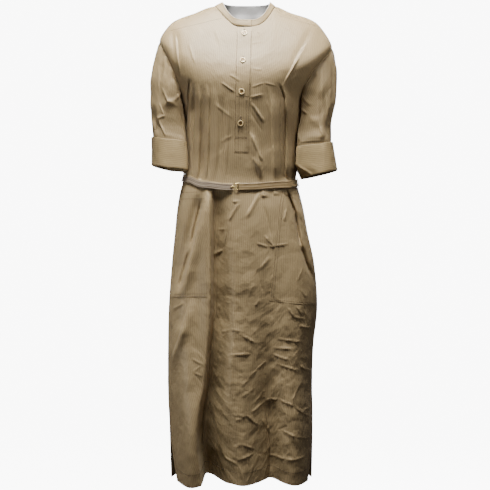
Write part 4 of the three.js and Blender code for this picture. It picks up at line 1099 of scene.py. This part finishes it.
for sleeve in SLEEVES:
    angles = ring_angles(sleeve.side)
    points = sleeve_points(sleeve, angles[None, :], SLEEVE_ROW_SHARES[:, None])
    tucked = [
        cling(
            cuff_point(sleeve, angles, share, 0), sleeve.side, cuff_cling(sleeve, angles, share),
            BODY_CLEARANCE + CUFF_STEP,
        )
        for share in SLEEVE_IN_CUFF
    ]
    points = np.concatenate([points, np.array(tucked)])
    ring_piece(f"sleeve_{sleeve.name}", points, poplin)
    rings = []
    for share, step in CUFF_ROWS:
        ring = cuff_point(sleeve, angles, share, step)
        swell = CUFF_SWELL * soft_noise(angles, share * 72 + 0 * angles, 30, 4.0 + sleeve.side)
        ring[:, 0] += sleeve.side * cosine_of(angles) * swell
        ring[:, 1] -= sine_of(angles) * swell
        facing = ease(0.1, 0.6, sine_of(angles))
        ring[:, 1] -= facing * crease_depth(CUFF_CREASES, ring[:, 0], ring[:, 2])
        lying = cuff_cling(sleeve, angles, share)
        rings.append(cling(ring, sleeve.side, lying, BODY_CLEARANCE + CUFF_STEP - step))
    ring_piece(f"cuff_{sleeve.name}", np.array(rings), poplin_round)


# Collar band

COLLAR_END_TURN = 6.7
COLLAR_UNDER_TURN = -372
COLLAR_LAP = 3.2
COLLAR_LAP_FADE = 45
COLLAR_HEIGHT_FRONT = 17.5
COLLAR_HEIGHT_BACK = 23
COLLAR_LEAN = 5
COLLAR_LEAN_LEFT = 16
COLLAR_LEAN_RIGHT = 8
# The lining goes on below the seam as a facing, by these shares of the collar's height
FACING_FRONT = 0.12
FACING_BACK = 0.75
NECK_MIDDLE = (5, -7)


def collar_inward(turn):
    edge = body_point(turn, 0)
    return unit(np.stack([NECK_MIDDLE[0] - edge[..., 0], NECK_MIDDLE[1] - edge[..., 1], 0 * turn], axis=-1))


def collar_points(turn, share, inset):
    turn, share = np.broadcast_arrays(turn, share)
    edge = body_point(turn, 0)
    toward = unit(edge - body_point(turn, 12))
    inward = collar_inward(turn)
    front_share = (1 + cosine_of(turn)) / 2
    height = mix(COLLAR_HEIGHT_BACK, COLLAR_HEIGHT_FRONT, front_share)
    height = height - NECK_RISE * np.abs(sine_of(turn)) ** NECK_RISE_ROUND
    lap = COLLAR_LAP * (1 - ease(COLLAR_LAP_FADE / 3, COLLAR_LAP_FADE, np.abs(turn)))
    ripple = 0.5 * sine_of(turn * 9) * share * (1 - share) * 4
    points = edge + toward * (SEAM_GAP + 0.1)
    beside = np.abs(sine_of(turn)) ** NECK_RISE_ROUND
    lean = COLLAR_LEAN + beside * np.where(sine_of(turn) < 0, COLLAR_LEAN_LEFT, COLLAR_LEAN_RIGHT)
    points = points + inward * (lean * np.maximum(share, 0) ** 1.2 + inset - lap + ripple)[..., None]
    points[..., 2] += height * share
    return points


def collar_piece(name, shares, inset, material, node):
    points = collar_points(collar_turns, shares, inset)
    add_piece(name, grid_mesh(name, points, cloth_grid(points)), material, [node], COLLAR_CLOTH)


collar_turns = np.arange(COLLAR_UNDER_TURN, COLLAR_END_TURN + 0.1, 2.0)
collar_shares = np.linspace(1, 0, 9)[:, None]
collar_piece("collar_band_cloth", collar_shares, 0, poplin, "collar_band")
towards_back = (1 - cosine_of(collar_turns)) / 2
below = -np.linspace(0.1, 1, 8)[:, None] * mix(FACING_FRONT, FACING_BACK, towards_back)
lining_shares = np.concatenate([collar_shares + 0 * collar_turns, below])
lining_inset = COLLAR_CLOTH + SEAM_GAP
collar_piece("collar_lining", lining_shares, lining_inset, pale_cotton, "collar_inner")


# What lies on the front


def front_drop_at(x, z):
    """The drop at which the front has the given unfolded x and z."""
    low = np.zeros_like(x)
    high = np.full_like(x, float(BACK_HEM_DROP))
    for _ in range(26):
        middle = (low + high) / 2
        sine = np.abs(sine_of(front_turn_at(x, middle)))
        middle_z = section_at("front_z", middle)
        side_z = np.where(x < 0, section_at("left_z", middle), section_at("right_z", middle))
        too_high = middle_z + (side_z - middle_z) * sine ** SHOULDER_ROUND > z
        low = np.where(too_high, middle, low)
        high = np.where(too_high, high, middle)
    return (low + high) / 2


def front_at(x, z, lift):
    """The point of the front at x and z, in millimetres, moved out by lift along the cloth's normal."""
    x, z = np.broadcast_arrays(np.asarray(x, float), np.asarray(z, float))

    def point(px, pz):
        drop = front_drop_at(px, pz)
        return body_point(front_turn_at(px, drop), drop, detail=DETAIL_FRONT)

    centre = point(x, z)
    down = point(x, z - 1.5) - point(x, z + 1.5)
    across = point(x + 1.5, z) - point(x - 1.5, z)
    return centre + unit(np.cross(down, across)) * np.asarray(lift, float)[..., None]


PLACKET = {"top_z": -53, "top_left": -20, "top_right": 17, "end_z": -368, "end_left": -26, "end_right": 9}
PATCH_PITCH = 2.6
PATCH_TURN_CELLS = 2
# The placket's right edge lies free above these shares of its length
PLACKET_FREE_LIFT = 2.4
PLACKET_SEWN = (0.45, 0.56)


def patch_grid(left_at, right_at, top_z, end_left_z, end_right_z):
    """x and z of a patch between two edges that are lines of x over the way down."""
    rows = round((top_z - min(end_left_z, end_right_z)) / PATCH_PITCH)
    down = np.linspace(0, 1, rows + 1)[:, None]
    widest = max(abs(right_at(0) - left_at(0)), abs(right_at(1) - left_at(1)))
    share = np.linspace(0, 1, round(widest / PATCH_PITCH) + 1)[None, :]
    end_z = mix(end_left_z, end_right_z, share)
    z = mix(top_z, end_z, down)
    x = mix(left_at(down), right_at(down), share)
    return x, z


def patch(node, x, z, lift, crumple):
    points = front_at(x, z, lift)
    cloth = cloth_grid(points, crumple=crumple)
    mesh = grid_mesh(f"{node}_cloth", *turned_edges(points, cloth, PATCH_TURN, PATCH_TURN_CELLS))
    add_piece(f"{node}_cloth", mesh, poplin, [node])


x, z = patch_grid(
    lambda down: mix(PLACKET["top_left"], PLACKET["end_left"], down),
    lambda down: mix(PLACKET["top_right"], PLACKET["end_right"], down),
    PLACKET["top_z"], PLACKET["end_z"], PLACKET["end_z"],
)
placket_down = np.linspace(0, 1, len(x))[:, None]
free = np.linspace(0, 1, x.shape[1]) ** 2 * (1 - ease(*PLACKET_SEWN, placket_down))
patch("placket", x, z, mix(PATCH_LIFT, PLACKET_FREE_LIFT, free), 0.2)

Pocket = namedtuple("Pocket", "name side top_z inner_z outer_z top_inner end_inner")
POCKETS = [
    Pocket("left", -1, -465, -722, -724, -98, -91),
    Pocket("right", 1, -461, -731, -745, 93, 59),
]
POCKET_EDGE_INSET = 4.0


def side_seam_x(side, z):
    return section_at("left" if side < 0 else "right", DROP_AT_ZERO - z) - side * POCKET_EDGE_INSET


for pocket in POCKETS:
    def outer(down, pocket=pocket):
        return side_seam_x(pocket.side, mix(pocket.top_z, pocket.outer_z, down))

    def inner(down, pocket=pocket):
        return mix(pocket.top_inner, pocket.end_inner, down)

    if pocket.side < 0:
        x, z = patch_grid(outer, inner, pocket.top_z, pocket.outer_z, pocket.inner_z)
    else:
        x, z = patch_grid(inner, outer, pocket.top_z, pocket.inner_z, pocket.outer_z)
    patch(f"pocket_{pocket.name}", x, z, PATCH_LIFT, 0.3)


# Belt

BELT_HALF_HEIGHT = 8.8
# The belt's middle line: turn and z
BELT_LINE = [
    (-270, -436), (-180, -426), (-92, -422), (-60, -430), (-30, -445), (-8, -451), (4, -451), (40, -446),
    (90, -436),
]
BELT_LOOP_TURN = 91
BELT_END_TURN = 268
BELT_STEP = 0.8
BELT_STITCH_INSET = 2.2
BELT_STITCH_LIFT = 0.35
CLASP = {"x": -24.5, "z": -450, "width": 20, "height": 18}


def belt_z(any_turn):
    turn = np.where(any_turn > 90, any_turn - 360, any_turn)
    turns, heights = np.array(BELT_LINE, float).T
    row = np.clip(np.searchsorted(turns, turn) - 1, 0, len(turns) - 2)
    return mix(heights[row], heights[row + 1], ease(turns[row], turns[row + 1], turn))


def around_waist(turn, dz, lift):
    drop = DROP_AT_ZERO - belt_z(turn) - dz
    return body_point(turn, drop, 0) + body_normal(turn, drop, 0) * np.asarray(lift)[..., None]


def belt_piece(name, first, last, material, replaces, seed):
    turn = np.arange(first, last, BELT_STEP)[None, :]
    share = np.linspace(-1, 1, 11)[:, None]
    turn, share = np.broadcast_arrays(turn, share)
    dz = -share * BELT_HALF_HEIGHT
    ripple = 0.35 * soft_noise(turn * 0.8, share * 9, 5, seed) + 0.25 * np.sin(share * 8 + turn * 0.05)
    points = around_waist(turn, dz, BELT_LIFT + BELT_CLOTH + ripple)
    mesh = grid_mesh(name, points, cloth_grid(points, middle=0))
    add_piece(name, mesh, material, replaces, BELT_CLOTH)


def waist_turn(x):
    return float(front_turn_at(x, DROP_AT_ZERO - CLASP["z"]))


belt_end_left = waist_turn(CLASP["x"] - CLASP["width"] / 4)
belt_end_right = waist_turn(CLASP["x"] + CLASP["width"] / 4)
belt_piece(
    "belt_reverse_side", -BELT_LOOP_TURN, belt_end_left, belt_lining, ["belt_reverse"], 5.0,
)
# The belt's face takes the darker poplin, which paints shade on it.
belt_piece("belt_face_side", belt_end_right, BELT_END_TURN, poplin_belt_painted_shade, ["belt_face"], 9.0)

for name in ("belt_loop_left", "belt_loop_right"):
    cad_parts[name].data.materials.clear()
    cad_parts[name].data.materials.append(poplin)


# Stitches, buttons and the clasp are set on the outer surface, along lines of the picture

outer_surface = BVHTree.FromPolygons(OUTER_FACES["points"], OUTER_FACES["quads"])


def surface_at(px, py):
    """The outer surface's point and normal at a pixel of the picture, or None beside the dress."""
    x = (px - MIDDLE_PX) * PIXEL
    z = (TOP_PY - py) * PIXEL
    eye = Vector((0, CAMERA_Y, CAMERA_Z))
    way = (Vector((x, 0, z)) - eye).normalized()
    place, normal, _, _ = outer_surface.ray_cast(eye, way)
    if place is None:
        return None
    return np.array(place), np.array(-normal if normal.dot(way) > 0 else normal)


STITCH_LENGTH = 2.2
STITCH_PITCH = 3.3
STITCH_WIDTH = 0.95
STITCH_HEIGHT = 0.35
STITCH_SUNK = 0.15
STITCH_TOP = 0.6
TRACE_STEP = 0.5
BOX_FACES = [(0, 1, 2, 3), (7, 6, 5, 4), (0, 4, 5, 1), (1, 5, 6, 2), (2, 6, 7, 3), (3, 7, 4, 0)]


def trace(line):
    """Points and normals of the outer surface along a line of pixels."""
    found = []
    for (ax, ay), (bx, by) in zip(line, line[1:]):
        count = max(1, round(math.hypot(bx - ax, by - ay) / TRACE_STEP))
        for share in np.arange(count + 1) / count:
            hit = surface_at(mix(ax, bx, share), mix(ay, by, share))
            if hit and (not found or np.linalg.norm(hit[0] - found[-1][0]) > 0.2):
                found.append(hit)
    return np.array([hit[0] for hit in found]), np.array([hit[1] for hit in found])


# Stitches take the dark thread unless given another material; its darkness also paints the seams' shade.
def stitches(name, rows, material=None, length=STITCH_LENGTH, pitch=STITCH_PITCH, width=STITCH_WIDTH):
    """Short raised stitches along rows of points with normals, joined into one piece."""
    corners = []
    faces = []
    for points, normals in rows:
        steps = np.linalg.norm(np.diff(points, axis=0), axis=-1)
        along = np.concatenate([[0], np.cumsum(steps)])
        starts = np.arange(0.5, along[-1] - length, pitch)
        if not len(starts):
            continue

        def between(values, at):
            return np.stack([np.interp(at, along, values[:, axis]) for axis in range(3)], axis=-1)

        first = between(points, starts)
        last = between(points, starts + length)
        up = unit(between(normals, starts + length / 2))
        side = unit(np.cross(last - first, up)) * width / 2
        for end in (first, last):
            low, high = end - STITCH_SUNK * up, end + STITCH_HEIGHT * up
            corners += [low - side, low + side, high + side * STITCH_TOP, high - side * STITCH_TOP]
        base = sum(len(block) for block in corners[:-8])
        count = len(starts)
        for index in range(count):
            faces += [[base + corner * count + index for corner in face] for face in BOX_FACES]
    mesh = new_mesh(name, np.concatenate(corners), faces, smooth=False)
    return add_piece(name, mesh, material or thread)


def grid_line(points, rows, columns):
    normals = surface_normals(points)
    return points[rows, columns], normals[rows, columns]


def picture_rows(*lines):
    return [trace(line) for line in lines]


hem_row = -1 - round(HEM_STITCH_UP / FRONT_ROW_PITCH)
front_slit_rows = slice(-round(FRONT_SLIT_LENGTH / FRONT_ROW_PITCH), None)
front_stitches = stitches("front_stitches", [
    grid_line(front_points, hem_row, slice(4, -4)),
    grid_line(front_points, front_slit_rows, 4),
    grid_line(front_points, front_slit_rows, -5),
    grid_line(front_points, slice(2, ARMHOLE_ROWS), 3),
    grid_line(front_points, slice(2, ARMHOLE_ROWS), -4),
    *picture_rows(
        [(222, 18), (196, 24.2), (170, 30.6)],
        [(278.5, 15.4), (296, 20.3), (315, 25.6)],
    ),
])
back_hem_row = -1 - round(HEM_STITCH_UP / BACK_ROW_PITCH)
back_slit_rows = slice(-round(BACK_SLIT_LENGTH / BACK_ROW_PITCH), None)
back_stitches = stitches("back_stitches", [
    grid_line(back_points, back_hem_row, slice(4, -4)),
    grid_line(back_points, back_slit_rows, 3),
    grid_line(back_points, back_slit_rows, -4),
    grid_line(back_points, slice(2, ARMHOLE_ROWS), 2),
    grid_line(back_points, slice(2, ARMHOLE_ROWS), -3),
])
placket_stitches = stitches("placket_stitches", picture_rows(
    [(237.4, 31), (235.6, 92), (235.3, 136)],
    [(251.2, 31), (249.3, 92), (248, 136)],
    [(239.2, 96), (238, 153)],
    [(246.8, 96), (245.7, 153)],
    [(235.3, 136), (234.9, 153.6)],
    [(248, 136), (247.6, 153.6)],
    [(235.2, 137), (248, 137)],
    [(235.2, 138.4), (248, 138.4)],
    [(235, 151.4), (247.8, 151.4)],
    [(235.6, 96), (249.2, 96)],
))
pocket_left_stitches = stitches("pocket_left_stitches", picture_rows(
    [(182, 192.4), (205, 191.8)],
    [(181, 199), (205, 198.4)],
    [(173, 296.6), (207, 296)],
    [(174, 294.2), (207, 293.6)],
))
pocket_right_stitches = stitches("pocket_right_stitches", picture_rows(
    [(282.6, 191), (280, 205), (276, 250), (271, 299)],
    [(285, 191), (282.4, 205), (278.4, 250), (273.4, 299)],
    [(271, 299.4), (295, 301.8), (316, 303.8)],
    [(283, 191.4), (293, 191)],
))
collar_line_turns = np.arange(-360, 3, 1.5)
collar_stitches = stitches("collar_stitches", [
    (collar_points(collar_line_turns, share, -0.05), -collar_inward(collar_line_turns))
    for share in (0.13, 0.86)
])
belt_turns = np.arange(belt_end_right + 3, BELT_END_TURN - 2, BELT_STEP)
belt_stitches = stitches("belt_stitches", [
    (
        around_waist(belt_turns, dz, BELT_LIFT + BELT_CLOTH + BELT_STITCH_LIFT),
        body_normal(belt_turns, DROP_AT_ZERO - belt_z(belt_turns) - dz, 0),
    )
    for dz in (BELT_STITCH_INSET - BELT_HALF_HEIGHT, BELT_HALF_HEIGHT - BELT_STITCH_INSET)
])


# Buttons: a lathed rim and a dished middle with four holes, which are dark discs of painted shade, and
# crossed thread

BUTTON_PLACES = [(244.2, 32.9), (242.8, 60), (241.6, 91.5), (240.5, 123.2)]
# Profiles as radius and height above the cloth
BUTTON_RIM = [
    (4.1, 1.3), (4.7, 1.8), (5.5, 2.1), (6.6, 2.1), (7.3, 1.8), (7.5, 1.2), (7.2, 0.7), (6.2, 0.4), (0, 0.3),
]
BUTTON_MIDDLE = [(0, 1.25), (2.6, 1.2), (3.6, 1.25), (4.3, 1.5)]
BUTTON_HOLE = [(0, 0.14), (0.75, 0.12), (0.85, 0)]
BUTTON_SIDES = 40
HOLE_ASIDE = 1.5
HOLE_LIFT = 1.2
CORNER_SIGNS = [(-1, -1), (1, -1), (1, 1), (-1, 1)]
THREAD_REACH = 1.7
THREAD_LIFT = 1.6


def axes_at(normal):
    """Right and up in the cloth, for something set on it."""
    right = unit(np.cross(np.array([0.0, 0.0, 1.0]), normal))
    right = -right if right[0] < 0 else right
    up = np.cross(right, -normal)
    return right, up if up[2] > 0 else -up


def lathe(name, centre, normal, profile, material, replaces=(), sides=BUTTON_SIDES):
    right, up = axes_at(normal)
    turn = (np.arange(sides) * 2 * math.pi / sides)[:, None]
    circle = np.cos(turn) * right + np.sin(turn) * up
    corners = [centre + radius * circle + height * normal for radius, height in profile]
    quads = []
    for ring in range(len(profile) - 1):
        for side in range(sides):
            beside = (side + 1) % sides
            low, high = ring * sides, (ring + 1) * sides
            quads.append((low + side, low + beside, high + beside, high + side))
    return add_piece(name, new_mesh(name, corners, quads, smooth=True), material, replaces)


for number, (px, py) in enumerate(BUTTON_PLACES, 1):
    place, _ = surface_at(px, py)
    around = [surface_at(px + dx, py + dy)[1] for dx in (-2.5, 0, 2.5) for dy in (-2.5, 0, 2.5)]
    normal = unit(np.sum(around, axis=0))
    right, up = axes_at(normal)
    name = f"button_{number}"
    lathe(f"{name}_rim", place, normal, BUTTON_RIM, button_shell, [name])
    lathe(f"{name}_middle", place, normal, BUTTON_MIDDLE, button_middle)
    for hole, (dx, dy) in enumerate(CORNER_SIGNS):
        middle = place + HOLE_ASIDE * (dx * right + dy * up) + HOLE_LIFT * normal
        # Each hole is a flat dark disc: painted shade.
        lathe(f"{name}_hole_{hole}", middle, normal, BUTTON_HOLE, button_hole_painted_shade, sides=12)
    crossing = []
    for dx in (-HOLE_ASIDE, HOLE_ASIDE):
        middle = place + dx * right + THREAD_LIFT * normal
        ends = np.array([middle - THREAD_REACH * up, middle + THREAD_REACH * up])
        crossing.append((ends, np.array([normal, normal])))
    stitches(f"{name}_thread", crossing, length=2.6, pitch=9, width=0.7)


# Clasp: a bar across the belt's end, an eye, and a small hook that lies on the reverse side
ClaspPart = namedtuple("ClaspPart", "x z width height out thickness")
CLASP_PARTS = [
    ClaspPart(7.2, 0, 3.2, 17.6, 2.0, 1.6),
    ClaspPart(2.6, 6.9, 6.4, 1.7, 1.6, 1.3),
    ClaspPart(2.6, -6.9, 6.4, 1.7, 1.6, 1.3),
    ClaspPart(-1.4, 0, 1.8, 15.4, 1.6, 1.4),
    ClaspPart(-6.4, -1.2, 8.6, 4.2, 1.2, 1.2),
    ClaspPart(-9.8, -1.2, 2.2, 5.6, 2.0, 1.2),
]
CLASP_BEVEL = 0.5

clasp_turn = np.array([waist_turn(CLASP["x"])])
clasp_normal = body_normal(clasp_turn, DROP_AT_ZERO - belt_z(clasp_turn), 0)[0]
clasp_right, clasp_up = axes_at(clasp_normal)
clasp_place = around_waist(clasp_turn, np.zeros(1), np.array([BELT_LIFT + BELT_CLOTH]))[0]
corners = []
faces = []
for part in CLASP_PARTS:
    base = len(corners)
    for out in (-0.5, 0.5):
        for dx, dz in CORNER_SIGNS:
            corner = clasp_place + (part.x + dx * part.width / 2) * clasp_right
            corner = corner + (part.z + dz * part.height / 2) * clasp_up
            corners.append(corner + (part.out + out * part.thickness) * clasp_normal)
    faces += [[base + corner for corner in face[::-1]] for face in BOX_FACES]
clasp_mesh = new_mesh("clasp", corners, faces, smooth=False)
clasp = add_piece("clasp", clasp_mesh, clasp_metal, ["belt_clasp"])
rounding = clasp.modifiers.new("Rounding", "BEVEL")
rounding.width = CLASP_BEVEL * MM
rounding.segments = 2


# Buttonholes: two close rows of stitches and a slit, a dark row of painted shade
BUTTONHOLES = [
    [(244.4, 28.6), (244.0, 36.6)],
    [(243.0, 55.8), (242.6, 64)],
    [(241.8, 87), (241.4, 95.4)],
    [(240.9, 115.6), (240.5, 127)],
]
buttonhole_rows = []
for (ax, ay), (bx, by) in BUTTONHOLES:
    for aside in (-0.45, 0.45):
        buttonhole_rows.append(trace([(ax + aside, ay), (bx + aside, by)]))
buttonhole_stitches = stitches("buttonhole_stitches", buttonhole_rows, length=0.6, pitch=0.8, width=1.3)
# The slits are dark strips: painted shade in the cut.
buttonhole_slits_painted_shade = stitches(
    "buttonhole_slits_painted_shade", picture_rows(*BUTTONHOLES), button_hole_painted_shade, length=2.0, pitch=2.0, width=0.5,
)


# Light, backdrop and camera


def area_light(name, place, aim, size, power, colour):
    lamp = bpy.data.lights.new(name, "AREA")
    lamp.shape = "RECTANGLE"
    lamp.size, lamp.size_y = size
    lamp.energy = power
    lamp.color = colour
    light = new_object(name, lamp)
    light.location = place
    light.rotation_euler = (Vector(aim) - Vector(place)).to_track_quat("-Z", "Y").to_euler()


area_light("key", (-0.12, -0.5, 1.04), (0, 0, -0.2), (0.5, 0.5), 84, (1.0, 0.972, 0.865))
area_light("left key", (-0.95, -0.34, -0.8), (-0.15, 0, -0.8), (0.4, 0.4), 2.6, (1.0, 0.96, 0.86))
area_light("right key", (0.62, -0.42, 0.1), (0.2, 0, -0.3), (0.25, 0.25), 1.7, (1.0, 0.96, 0.86))
area_light("fill", (0.2, -2.6, -0.3), (0, 0, -0.7), (2.0, 2.0), 1.1, (1.0, 0.86, 0.7))
area_light("back fill", (0.5, 2.8, 0.6), (0, 0, -0.5), (2.0, 2.0), 55, (1.0, 0.97, 0.92))

world = bpy.data.worlds.new("studio")
bpy.context.scene.world = world
world.use_nodes = True
background = world.node_tree.nodes["Background"]
background.inputs["Color"].default_value = (1.0, 0.92, 0.82, 1)
background.inputs["Strength"].default_value = 0.07

FLOOR_Z = -1.75
STAGE_GLOW = 9.0


def stage_plane(name, corners):
    mesh = bpy.data.meshes.new(name)
    mesh.from_pydata(corners, [], [(0, 1, 2, 3)])
    plane = new_object(name, mesh)
    material = bpy.data.materials.new(name)
    material.use_nodes = True
    shader = material.node_tree.nodes["Principled BSDF"]
    shader.inputs["Base Color"].default_value = (1, 1, 1, 1)
    shader.inputs["Emission Color"].default_value = (1, 1, 1, 1)
    shader.inputs["Emission Strength"].default_value = STAGE_GLOW
    mesh.materials.append(material)
    plane.visible_diffuse = False
    plane.visible_glossy = False
    plane.visible_shadow = False


stage_plane("floor", [(-12, -12, FLOOR_Z), (12, -12, FLOOR_Z), (12, 12, FLOOR_Z), (-12, 12, FLOOR_Z)])
stage_plane("backdrop", [(-12, 6, -3), (12, 6, -3), (12, 6, 9), (-12, 6, 9)])

camera_data = bpy.data.cameras.new("camera")
camera_data.lens = CAMERA_LENS
camera_data.sensor_width = 36
camera = new_object("camera", camera_data)
camera.location = (0, CAMERA_Y * MM, CAMERA_Z * MM)
camera.rotation_euler = (math.radians(90), 0, 0)
bpy.context.scene.camera = camera

# Each sheet's cut, as far as it shows, in metres: all round on the sleeves and cuffs
Cut = namedtuple("Cut", "name width length area held rests_on with_pieces")
